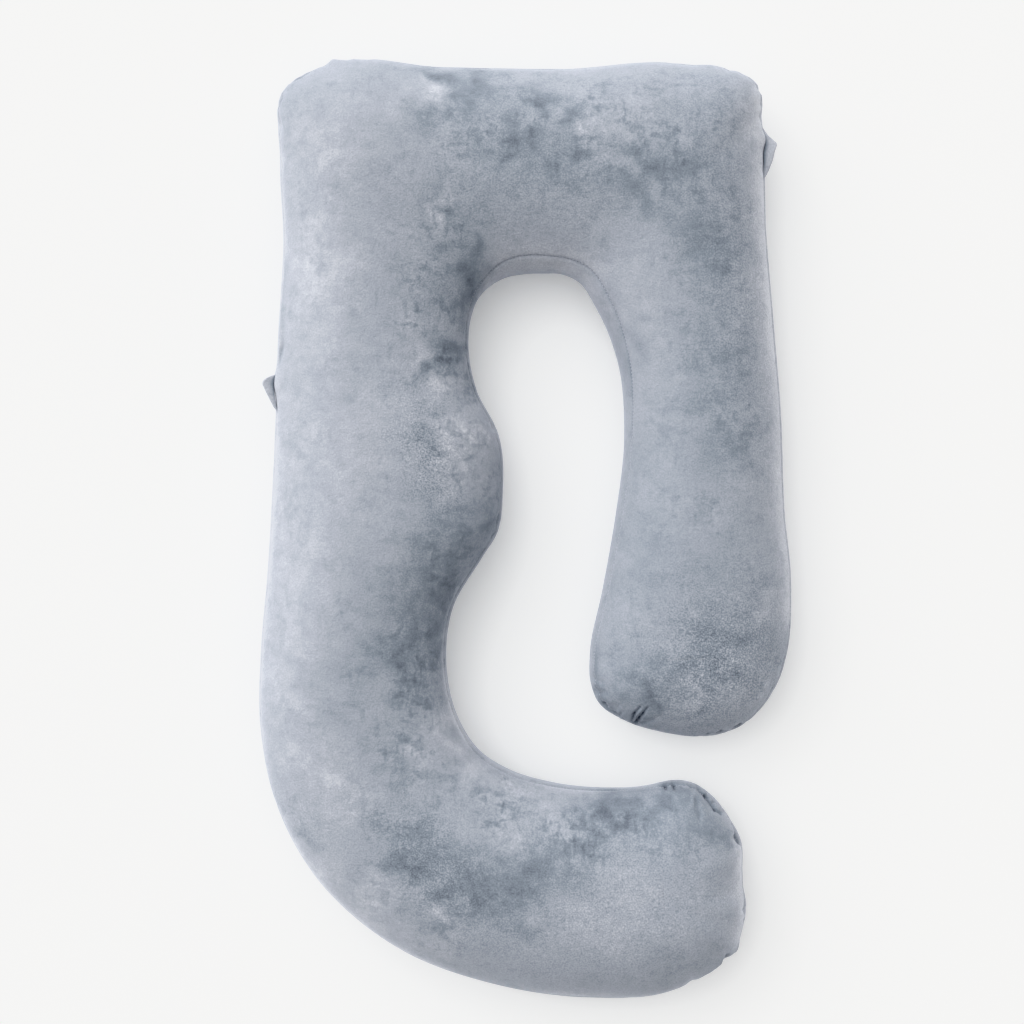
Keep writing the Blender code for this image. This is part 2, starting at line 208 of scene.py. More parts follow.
def ribs():
    """Where the half sections stand, anticlockwise round the edge: feet, rims, crowns and insets.

    A rib's foot is its end on the spine, and its rim is the pillow's widest point. Across a section, the
    foot is midway between the two rims, so both sides share it, and round an end all ribs share one.
    """
    outer = np.array([(s.outer_x, s.outer_y, s.fullness, s.outer_inset) for s in SECTIONS])
    inner = np.array([(s.inner_x, s.inner_y, s.fullness, s.inner_inset) for s in SECTIONS])
    leg, arm = end_rows(LEG_END, SECTIONS[-1]), end_rows(ARM_END, SECTIONS[0])
    rows = np.concatenate([outer, leg, inner[::-1], arm])
    chords = np.linalg.norm(np.diff(rows[:, :2], axis=0, append=rows[:1, :2]), axis=1)
    places = np.concatenate([[0], np.cumsum(chords)[:-1]])
    length = chords.sum()
    edge = closed_curve(places, rows, length)

    last = len(SECTIONS) - 1
    leg_stop = len(SECTIONS) + len(LEG_END)
    inner_stop = leg_stop + last
    counts = [s.ribs * FINER for s in SECTIONS[:-1]]
    ends = np.append(places, length)
    end_counts = 2 * np.maximum(1, np.round(np.diff(ends) / END_RIB_SPACING / 2)).astype(int)
    outer_at = np.append(between(ends[:last + 1], counts), ends[last])
    leg_at = between(ends[last:leg_stop + 1], end_counts[last:leg_stop])[1:]
    inner_at = np.append(between(ends[leg_stop:inner_stop + 1], counts[::-1]), ends[inner_stop])
    arm_at = between(ends[inner_stop:], end_counts[inner_stop:])[1:]

    outer_side, inner_side = edge(outer_at), edge(inner_at)
    spine = (outer_side + inner_side[::-1]) / 2
    around = np.concatenate([outer_side, edge(leg_at), inner_side, edge(arm_at)])
    middle = np.concatenate([spine, np.repeat(spine[-1:], len(leg_at), axis=0), spine[::-1],
                             np.repeat(spine[:1], len(arm_at), axis=0)])
    return middle[:, :2], around[:, :2], middle[:, 2] * THICKNESS, around[:, 3]


rib_lines = ribs()
print(len(rib_lines[0]), "ribs round the edge")

# %% [markdown]
# ## Half sections
#
# A stuffed tube is fullest in the middle and turns down ever faster towards its seam, and underneath it
# settles flat. A superellipse has that curve, and one number sets how full it looks, so each half
# section is two of them: one from the crown out to the seam, and one from there down to the floor. The
# first number of the surface runs round the edge, and the second from the spine over the seam and back.

# %% The plain stuffed shape
TINY = 1e-12               # keeps a division by a length of 0 harmless
WIDEST_LEVEL = 0.46        # height of the widest level, as a share of the crown
SETTLE = 0.010             # how far the round underside would reach below the floor
UPPER_ROUNDNESS = 2.3      # 2 is an ellipse, and more is squarer
LOWER_ROUNDNESS = 2.4
UPPER_STEPS = 52           # rows of faces from the crown to the seam
SIDE_STEPS = 28            # from the seam to the floor
FLAT_STEPS = 4             # and from there to the middle of the underside
CROWN_EASE = 1.3           # above 1, these rows lie closer together near the seam
SIDE_EASE = 1.4


def half_sections(feet, rims, crowns, insets):
    """Return a grid of points, ribs by rows.

    Above the widest level, a half section is a quarter of a superellipse, out = cos(a) ^ (2 / n) and
    up = sin(a) ^ (2 / n), which ends on the seam. Below, a second one reaches SETTLE below the floor, and
    stops where it meets it. The last rows run straight in along the floor to a point under the spine.
    """
    reach = np.linalg.norm(rims - feet, axis=1)[:, None]
    widest = WIDEST_LEVEL * crowns[:, None]
    above, below = crowns[:, None] - widest, widest + SETTLE
    seam = np.arccos((1 - insets[:, None] / reach) ** (UPPER_ROUNDNESS / 2))
    floor = -np.arcsin((widest / below) ** (LOWER_ROUNDNESS / 2))
    up_share = np.linspace(1, 0, UPPER_STEPS + 1) ** CROWN_EASE
    down_share = np.linspace(0, 1, SIDE_STEPS + 1)[1:] ** SIDE_EASE
    angle = np.hstack([seam + (np.pi / 2 - seam) * up_share, seam + (floor - seam) * down_share])
    power = np.where(angle > 0, 2 / UPPER_ROUNDNESS, 2 / LOWER_ROUNDNESS)
    out = np.abs(np.cos(angle)) ** power
    rise = np.sign(angle) * np.abs(np.sin(angle)) ** power * np.where(angle > 0, above, below)
    out_flat = out[:, -1:] * np.linspace(1, 0, FLAT_STEPS + 1)[1:]
    height = np.hstack([np.maximum(widest + rise, 0), np.zeros_like(out_flat)])
    out = np.hstack([out, out_flat])
    flat = feet[:, None, :] + out[..., None] * (rims - feet)[:, None, :]
    return np.concatenate([flat, height[..., None]], axis=2)


def placed(grid):
    """Move a grid so that the middle of its box is the middle of the CAD solid's box."""
    middle = (grid.min(axis=(0, 1)) + grid.max(axis=(0, 1))) / 2
    wanted = (pillow_low + pillow_high) / 2
    return grid + np.array([wanted[0] - middle[0], wanted[1] - middle[1], 0])


def outward(grid):
    """Unit normals of a grid that is closed from rib to rib; zero where the ribs run together."""
    along = np.roll(grid, -1, axis=0) - np.roll(grid, 1, axis=0)
    across = np.gradient(grid, axis=1)
    normal = np.cross(across, along)
    size = np.linalg.norm(normal, axis=2, keepdims=True)
    return np.where(size > TINY, normal / np.maximum(size, TINY), 0)


stuffed = placed(half_sections(*rib_lines))
print("stuffed shape:", stuffed.shape[0], "ribs by", stuffed.shape[1], "rows")

# %% From a grid to a mesh
MERGE_DISTANCE = 1e-5


def grid_faces(count, rows, closed_along=True, closed_across=False):
    """Quads between neighbouring ribs and rows."""
    i, j = np.meshgrid(np.arange(count - (not closed_along)), np.arange(rows - (not closed_across)),
                       indexing="ij")
    next_i, next_j = (i + 1) % count, (j + 1) % rows
    corners = [i * rows + j, i * rows + next_j, next_i * rows + next_j, next_i * rows + j]
    return np.stack(corners, axis=-1).reshape(-1, 4)


def new_piece(name, vertices, faces, attributes=None):
    """A smooth closed mesh, with its doubles merged and its faces turned outwards."""
    mesh = bpy.data.meshes.new(name)
    mesh.from_pydata(vertices.reshape(-1, 3).tolist(), [], [list(face) for face in faces])
    for attribute, values in (attributes or {}).items():
        mesh.attributes.new(attribute, "FLOAT", "POINT").data.foreach_set("value", values.ravel())
    shape = bmesh.new()
    shape.from_mesh(mesh)
    bmesh.ops.remove_doubles(shape, verts=shape.verts, dist=MERGE_DISTANCE)
    bmesh.ops.recalc_face_normals(shape, faces=shape.faces)
    shape.to_mesh(mesh)
    shape.free()
    mesh.shade_smooth()
    piece = bpy.data.objects.new(name, mesh)
    bpy.context.scene.collection.objects.link(piece)
    return piece


def triangle_count(piece):
    return sum(len(polygon.vertices) - 2 for polygon in piece.data.polygons)


# %% [markdown]
# ## The filling pushes the cover out
#
# A real cover is cut a little larger than the filling needs, so it swells between the seams and stays
# slack where it is gathered. Blender's cloth does this well: every other rib and row of the grid becomes
# a cloth mesh, held at the seam and on the floor, a little larger than its shape, and air pressure
# inside stands for the filling. How far each point moved is eased, because so coarse a cloth wrinkles at
# the ends. It is then capped, filled in between the ribs, and added to the fine shape. The cloth object
# itself isn't kept.

# %% Puff the cover with a cloth simulation
PRESSURE = 4.0
SLACK = 0.001              # how much larger than its shape the cloth is cut
FRAMES = 20
CLOTH_QUALITY = 6          # steps that the simulation takes within each frame
MOST_SWELL = 0.006         # no point moves further than this
EASING = 8                 # rounds of smoothing, which take out the wrinkles that a coarse cloth gets
FLOOR_HELD = 0.002         # cloth lower than this is held by the floor


def with_no_doubles(grid):
    """Merge a grid's points that coincide. Returns the points and, for each grid point, its number."""
    rounded = np.round(grid.reshape(-1, 3) / MERGE_DISTANCE).astype(np.int64)
    _, first, number = np.unique(rounded, axis=0, return_index=True, return_inverse=True)
    return grid.reshape(-1, 3)[first], number.ravel()


def eased(moved, edges, rounds):
    """Average each point's move with the mean of its neighbours' moves, as many times as rounds says."""
    neighbours = np.bincount(edges.ravel(), minlength=len(moved))[:, None]
    for _ in range(rounds):
        total = np.zeros_like(moved)
        np.add.at(total, edges[:, 0], moved[edges[:, 1]])
        np.add.at(total, edges[:, 1], moved[edges[:, 0]])
        moved = (moved + total / neighbours) / 2
    return moved


def swell(grid, seam_row):
    """Simulate the cloth under pressure, and return how far each grid point moved."""
    points, number = with_no_doubles(grid)
    faces = [list(dict.fromkeys(face)) for face in number[grid_faces(*grid.shape[:2])].tolist()]
    mesh = bpy.data.meshes.new("cover_in_simulation")
    mesh.from_pydata(points.tolist(), [], [face for face in faces if len(face) > 2])
    cover = bpy.data.objects.new("cover_in_simulation", mesh)
    bpy.context.scene.collection.objects.link(cover)

    on_seam = np.zeros(grid.shape[:2], bool)
    on_seam[:, seam_row] = True
    held = np.unique(number[on_seam.ravel() | (grid[..., 2] < FLOOR_HELD).ravel()])
    cover.vertex_groups.new(name="held").add(held.tolist(), 1.0, "REPLACE")

    cloth = cover.modifiers.new("cloth", "CLOTH")
    cloth.settings.quality = CLOTH_QUALITY
    cloth.settings.use_pressure = True
    cloth.settings.uniform_pressure_force = PRESSURE
    cloth.settings.shrink_min = -SLACK
    cloth.settings.vertex_group_mass = "held"
    cloth.settings.effector_weights.gravity = 0
    cloth.collision_settings.use_collision = False
    cloth.point_cache.frame_start, cloth.point_cache.frame_end = 1, FRAMES
    for frame_number in range(1, FRAMES + 1):
        bpy.context.scene.frame_set(frame_number)
    after = np.empty(len(points) * 3, np.float32)
    puffed = cover.evaluated_get(bpy.context.evaluated_depsgraph_get())
    puffed.data.vertices.foreach_get("co", after)
    edges = np.empty(len(mesh.edges) * 2, np.int32)
    mesh.edges.foreach_get("vertices", edges)
    moved = eased(after.reshape(-1, 3).astype(float) - points, edges.reshape(-1, 2), EASING)
    bpy.data.objects.remove(cover)
    bpy.data.meshes.remove(mesh)
    bpy.context.scene.frame_set(1)
    return moved[number].reshape(grid.shape)


def filled_in(field, axis, closed):
    """Halve a grid's spacing: a new value is 9/16 of its two neighbours, less 1/16 of the next two."""
    field = np.moveaxis(field, axis, 0)
    before, after = (field[-1:], field[:2]) if closed else (field[:1], np.repeat(field[-1:], 2, axis=0))
    row = np.concatenate([before, field, after])
    middle = (9 * (row[1:-2] + row[2:-1]) - row[:-3] - row[3:]) / 16
    finer = np.stack([field, middle], axis=1).reshape(-1, *field.shape[1:])
    return np.moveaxis(finer if closed else finer[:-1], 0, axis)


puffed_shape = stuffed
moved = swell(stuffed[::2, ::2], UPPER_STEPS // 2)
far = np.linalg.norm(moved, axis=2, keepdims=True)
print("cloth moved, mm: mean", round(far.mean() * 1000, 2), "most", round(far.max() * 1000, 2))
moved *= np.tanh(far / MOST_SWELL) * MOST_SWELL / np.maximum(far, MERGE_DISTANCE)
puffed_shape = stuffed + filled_in(filled_in(moved, 0, True), 1, False)

# %% [markdown]
# ## Seam, puckers and folds
#
# Where two panels are sewn together the thread pulls the pile down, so a seam is a narrow valley with
# round banks. Where the edge turns sharply, the cloth is gathered, and short puckers run up from the
# seam. On this pillow they sit at the two ends and at the top corners, and beside each tab the edge
# stands out in a low bump, because the tab pulls on the seam. A pucker is a bell that is pressed in along
# the surface's own normal, or raised as a bump, which keeps it right from every side. The larger ones are
# listed. The small ones between them are drawn from a fixed seed, more of them where the edge turns most.

# %% Draw the cloth in along the seam
Pucker = namedtuple("Pucker", "x y depth width reach lean")
PUCKERS = [                # a depth below 0 is a bump
    Pucker(0.118, -0.261, 0.003, 0.006, 0.020, 0.3),      # short arm's end
    Pucker(0.158, -0.290, 0.004, 0.006, 0.030, 0.6),
    Pucker(0.196, -0.302, 0.002, 0.006, 0.020, 0.0),
    Pucker(0.281, -0.307, 0.003, 0.005, 0.020, 0.4),
    Pucker(0.309, -0.299, 0.003, 0.005, 0.020, 0.5),
    Pucker(0.206, -0.381, 0.003, 0.003, 0.010, 0.0),      # leg's end
    Pucker(0.219, -0.378, 0.003, 0.003, 0.010, 0.0),
    Pucker(0.260, -0.392, 0.003, 0.006, 0.030, -0.6),
    Pucker(0.309, -0.450, 0.005, 0.006, 0.025, -0.5),
    Pucker(0.328, -0.560, 0.003, 0.010, 0.025, 0.0),
    Pucker(0.302, -0.640, 0.006, 0.006, 0.030, 0.3),
    Pucker(0.248, -0.676, 0.004, 0.006, 0.025, 0.0),
    Pucker(-0.283, 0.697, -0.006, 0.009, 0.018, 0.0),     # second top corner
    Pucker(-0.372, 0.626, -0.001, 0.008, 0.020, 0.0),
    Pucker(-0.367, 0.598, 0.005, 0.009, 0.020, 0.0),
    Pucker(-0.369, 0.537, 0.003, 0.005, 0.012, 0.0),
    Pucker(-0.372, 0.216, -0.0065, 0.022, 0.014, 0.0),    # where the second tab pulls on the seam
    Pucker(0.277, 0.687, -0.003, 0.018, 0.020, 0.0),      # first top corner
    Pucker(0.353, 0.638, -0.003, 0.014, 0.030, 0.0),
    Pucker(0.322, 0.674, 0.003, 0.005, 0.016, 0.0),
    Pucker(0.349, 0.610, 0.003, 0.006, 0.024, 0.0),
    Pucker(0.355, 0.578, -0.006, 0.013, 0.012, 0.0),      # where the first tab pulls on the seam
]
PUCKER_REACH_BELOW = 0.6   # a pucker runs down the side this share of its run up over the crown
SEAM_DEPTH = 0.0026        # how far the stitches draw the cloth in
SEAM_HALF_WIDTH = 0.0024
GATHERS = 150              # small puckers between the large ones
GATHER_SEED = 11
GATHER_DEPTH = (0.0006, 0.0022)
GATHER_WIDTH = (0.0030, 0.0060)
GATHER_REACH = (0.010, 0.034)
GATHER_LEAN = 0.5          # how far a gather may slant, along the seam for each metre across it
TURN_OVER = 0.05           # the edge's turn is measured over this length
TURN_SAMPLE = 0.002        # at points this far apart
SHARPEST_TURN = 9          # per metre; a sharper turn gathers no more cloth
GATHER_POWER = 1.5         # above 1, the gathers crowd together where the edge turns most
INWARD_TURN = -2           # where the edge turns inwards more than this, the cloth has no gathers
DEEPEST_AT = 7             # the turn at which a gather reaches its full depth
SHALLOWEST = 0.25          # share of that depth on the straight runs


def seam_line(grid):
    """The seam's points, how far along it each one is, and its whole length."""
    line = grid[:, UPPER_STEPS]
    steps = np.linalg.norm(np.roll(line, -1, axis=0) - line, axis=1)
    return line, np.cumsum(steps) - steps, steps.sum()


def from_seam_along(grid):
    """How far each point is from the seam over the cloth; the lower panel's distances are below 0."""
    step = np.linalg.norm(np.diff(grid, axis=1), axis=2)
    across = np.concatenate([np.zeros((len(grid), 1)), np.cumsum(step, axis=1)], axis=1)
    return across[:, UPPER_STEPS:UPPER_STEPS + 1] - across


def nearest_rib(line, x, y):
    return np.argmin(np.hypot(line[:, 0] - x, line[:, 1] - y))


def seam_turn(grid):
    """How sharply the seam turns outwards at each rib, per metre, smoothed over TURN_OVER."""
    line, run, length = seam_line(grid)
    even = np.arange(0, length, TURN_SAMPLE)
    x, y = (np.interp(even, run, line[:, axis], period=length) for axis in (0, 1))
    heading = np.unwrap(np.arctan2(np.roll(y, -1) - np.roll(y, 1), np.roll(x, -1) - np.roll(x, 1)))
    reach = int(TURN_OVER / TURN_SAMPLE / 2)
    ahead, behind = np.roll(heading, -reach), np.roll(heading, reach)
    ahead[-reach:] += 2 * np.pi
    behind[:reach] -= 2 * np.pi
    return np.interp(run, even, (ahead - behind) / TURN_OVER)


def gathers(grid):
    """Small puckers from a fixed seed, most of them where the seam turns outwards sharply."""
    random = np.random.default_rng(GATHER_SEED)
    line, run, length = seam_line(grid)
    turn = seam_turn(grid)
    chance = 1 + np.clip(turn, 0, SHARPEST_TURN) ** GATHER_POWER
    chance *= np.gradient(run) * (turn > INWARD_TURN)
    ribs_chosen = random.choice(len(line), GATHERS, p=chance / chance.sum())
    strength = np.clip(turn[ribs_chosen] / DEEPEST_AT, SHALLOWEST, 1)
    return [Pucker(*line[rib, :2], force * random.uniform(*GATHER_DEPTH), random.uniform(*GATHER_WIDTH),
                   random.uniform(*GATHER_REACH), random.uniform(-GATHER_LEAN, GATHER_LEAN))
            for rib, force in zip(ribs_chosen, strength)]


def draw_in(grid, puckers):
    """Pull the cloth in along the seam and at the puckers.

    The seam's groove is a cusp, depth * exp(-distance / half width). A pucker is a bell along the seam
    times a bell across it, each exp(-(distance / size) ^ 2).
    """
    line, run, length = seam_line(grid)
    from_seam = from_seam_along(grid)
    depth = SEAM_DEPTH * np.exp(-np.abs(from_seam) / SEAM_HALF_WIDTH)
    for pucker in puckers:
        start = run[nearest_rib(line, pucker.x, pucker.y)]
        along = (run - start + length / 2) % length - length / 2
        off_line = along[:, None] - pucker.lean * from_seam
        reach = np.where(from_seam > 0, pucker.reach, pucker.reach * PUCKER_REACH_BELOW)
        depth += pucker.depth * np.exp(-(off_line / pucker.width) ** 2 - (from_seam / reach) ** 2)
    drawn = grid - outward(grid) * depth[..., None]
    drawn[..., 2] = np.maximum(drawn[..., 2], 0)
    drawn[:, UPPER_STEPS + SIDE_STEPS:, 2] = 0
    return drawn


sewn_shape = draw_in(puffed_shape, PUCKERS + gathers(puffed_shape))
seam_length = seam_line(sewn_shape)[2]
print(len(PUCKERS), "puckers and", GATHERS, "small gathers along", round(seam_length, 2), "m of seam")

# %% [markdown]
# ## Folds at the two ends
#
# At the end of the leg and of the short arm the panels are eased together, and the spare cloth lies in a
# few folds across the seam. Each fold is a line from one point to another, seen from above, pressed in
# or, with a depth below 0, raised: a soft trough or ridge. They lie on the upper panel and fade out just
# past the seam. A few more are at the top corners and beside the tabs, where the seam puckers.

# %% Folds laid in
FOLD_PAST_SEAM = 0.006     # how far a fold runs on over the seam
Fold = namedtuple("Fold", "x0 y0 x1 y1 depth width")
FOLDS = [
    Fold(0.254, -0.386, 0.266, -0.397, 0.0025, 0.0018),    # leg's end: the slot inside the corner
    Fold(0.266, -0.397, 0.279, -0.414, 0.0050, 0.0022),
    Fold(0.279, -0.414, 0.289, -0.421, 0.0045, 0.0022),
    Fold(0.270, -0.393, 0.287, -0.409, -0.0030, 0.0030),   # and the lip outside it
    Fold(0.287, -0.409, 0.302, -0.433, -0.0030, 0.0030),
    Fold(0.250, -0.399, 0.254, -0.420, 0.0020, 0.0045),
    Fold(0.247, -0.392, 0.245, -0.403, -0.0020, 0.0030),
    Fold(0.219, -0.377, 0.220, -0.384, 0.0045, 0.0022),
    Fold(0.206, -0.379, 0.208, -0.385, 0.0035, 0.0022),
    Fold(0.309, -0.454, 0.315, -0.467, 0.0045, 0.0020),
    Fold(0.313, -0.450, 0.319, -0.462, -0.0020, 0.0025),
    Fold(0.326, -0.542, 0.326, -0.568, 0.0035, 0.0028),
    Fold(0.297, -0.635, 0.291, -0.643, 0.0070, 0.0028),
    Fold(0.287, -0.650, 0.281, -0.656, 0.0050, 0.0025),
    Fold(0.250, -0.671, 0.243, -0.675, 0.0045, 0.0025),
    Fold(0.167, -0.261, 0.159, -0.272, 0.0040, 0.0016),    # short arm's end: two lines with a flap between
    Fold(0.159, -0.272, 0.155, -0.293, 0.0045, 0.0016),
    Fold(0.177, -0.262, 0.171, -0.272, 0.0040, 0.0016),
    Fold(0.171, -0.272, 0.166, -0.280, 0.0060, 0.0018),
    Fold(0.166, -0.280, 0.160, -0.291, 0.0070, 0.0020),
    Fold(0.166, -0.268, 0.159, -0.282, -0.0010, 0.0028),
    Fold(0.162, -0.292, 0.185, -0.300, 0.0020, 0.0022),
    Fold(0.117, -0.258, 0.122, -0.268, 0.0035, 0.0022),
    Fold(0.138, -0.279, 0.140, -0.272, 0.0030, 0.0022),
    Fold(0.289, -0.299, 0.282, -0.306, 0.0040, 0.0022),
    Fold(0.284, -0.296, 0.277, -0.304, -0.0015, 0.0022),
    Fold(0.317, -0.289, 0.309, -0.299, 0.0035, 0.0022),
    Fold(0.312, -0.287, 0.303, -0.296, -0.0015, 0.0022),
    Fold(0.360, -0.211, 0.352, -0.231, -0.0015, 0.0040),   # the ridge inside its right edge
    Fold(0.352, -0.231, 0.342, -0.248, -0.0015, 0.0040),
    Fold(0.342, -0.248, 0.325, -0.261, -0.0012, 0.0040),
    Fold(-0.342, 0.665, -0.332, 0.667, 0.0040, 0.0025),    # second top corner
    Fold(-0.332, 0.667, -0.308, 0.685, 0.0015, 0.0025),
    Fold(-0.369, 0.618, -0.360, 0.634, 0.0015, 0.0025),
    Fold(0.351, 0.640, 0.350, 0.626, 0.0040, 0.0025),      # first top corner
    Fold(0.268, 0.685, 0.267, 0.680, 0.0030, 0.0022),
    Fold(-0.363, 0.334, -0.360, 0.293, -0.0020, 0.0028),   # long side: a ridge that curves out to the tab
    Fold(-0.360, 0.293, -0.360, 0.271, -0.0022, 0.0028),
    Fold(-0.360, 0.271, -0.371, 0.244, -0.0020, 0.0028),
    Fold(-0.355, 0.270, -0.363, 0.245, 0.0015, 0.0030),
    Fold(-0.364, 0.321, -0.364, 0.318, 0.0040, 0.0022),
    Fold(-0.363, 0.280, -0.363, 0.276, 0.0035, 0.0022),
    Fold(0.354, 0.534, 0.354, 0.527, 0.0040, 0.0028),      # the hollow below the first tab
]


def fold_depth(grid, folds):
    """Sum of the folds on the upper panel, each depth * exp(-(distance from its line / width) ^ 2).

    Below the seam, each fades out as exp(-(distance from the seam / FOLD_PAST_SEAM) ^ 2).
    """
    upper = np.exp(-(np.minimum(from_seam_along(grid), 0) / FOLD_PAST_SEAM) ** 2)
    depth = np.zeros(grid.shape[:2])
    for fold in folds:
        start, end = np.array([fold.x0, fold.y0]), np.array([fold.x1, fold.y1])
        run = end - start
        share = np.clip((grid[..., :2] - start) @ run / (run @ run), 0, 1)
        away = np.linalg.norm(grid[..., :2] - start - share[..., None] * run, axis=2)
        depth += fold.depth * np.exp(-(away / fold.width) ** 2) * upper
    return depth


def pressed_in(grid, depth):
    """Move the cloth by depth, halfway between its own normal and straight down.

    Along the normal alone, a deep fold near the edge would end up nearer to the middle than it was drawn.
    """
    direction = outward(grid) + np.array([0, 0, 1])
    direction /= np.maximum(np.linalg.norm(direction, axis=2, keepdims=True), TINY)
    return grid - direction * depth[..., None]


fold_depths = fold_depth(sewn_shape, FOLDS)
folded_shape = pressed_in(sewn_shape, fold_depths)
print(len(FOLDS), "folds")
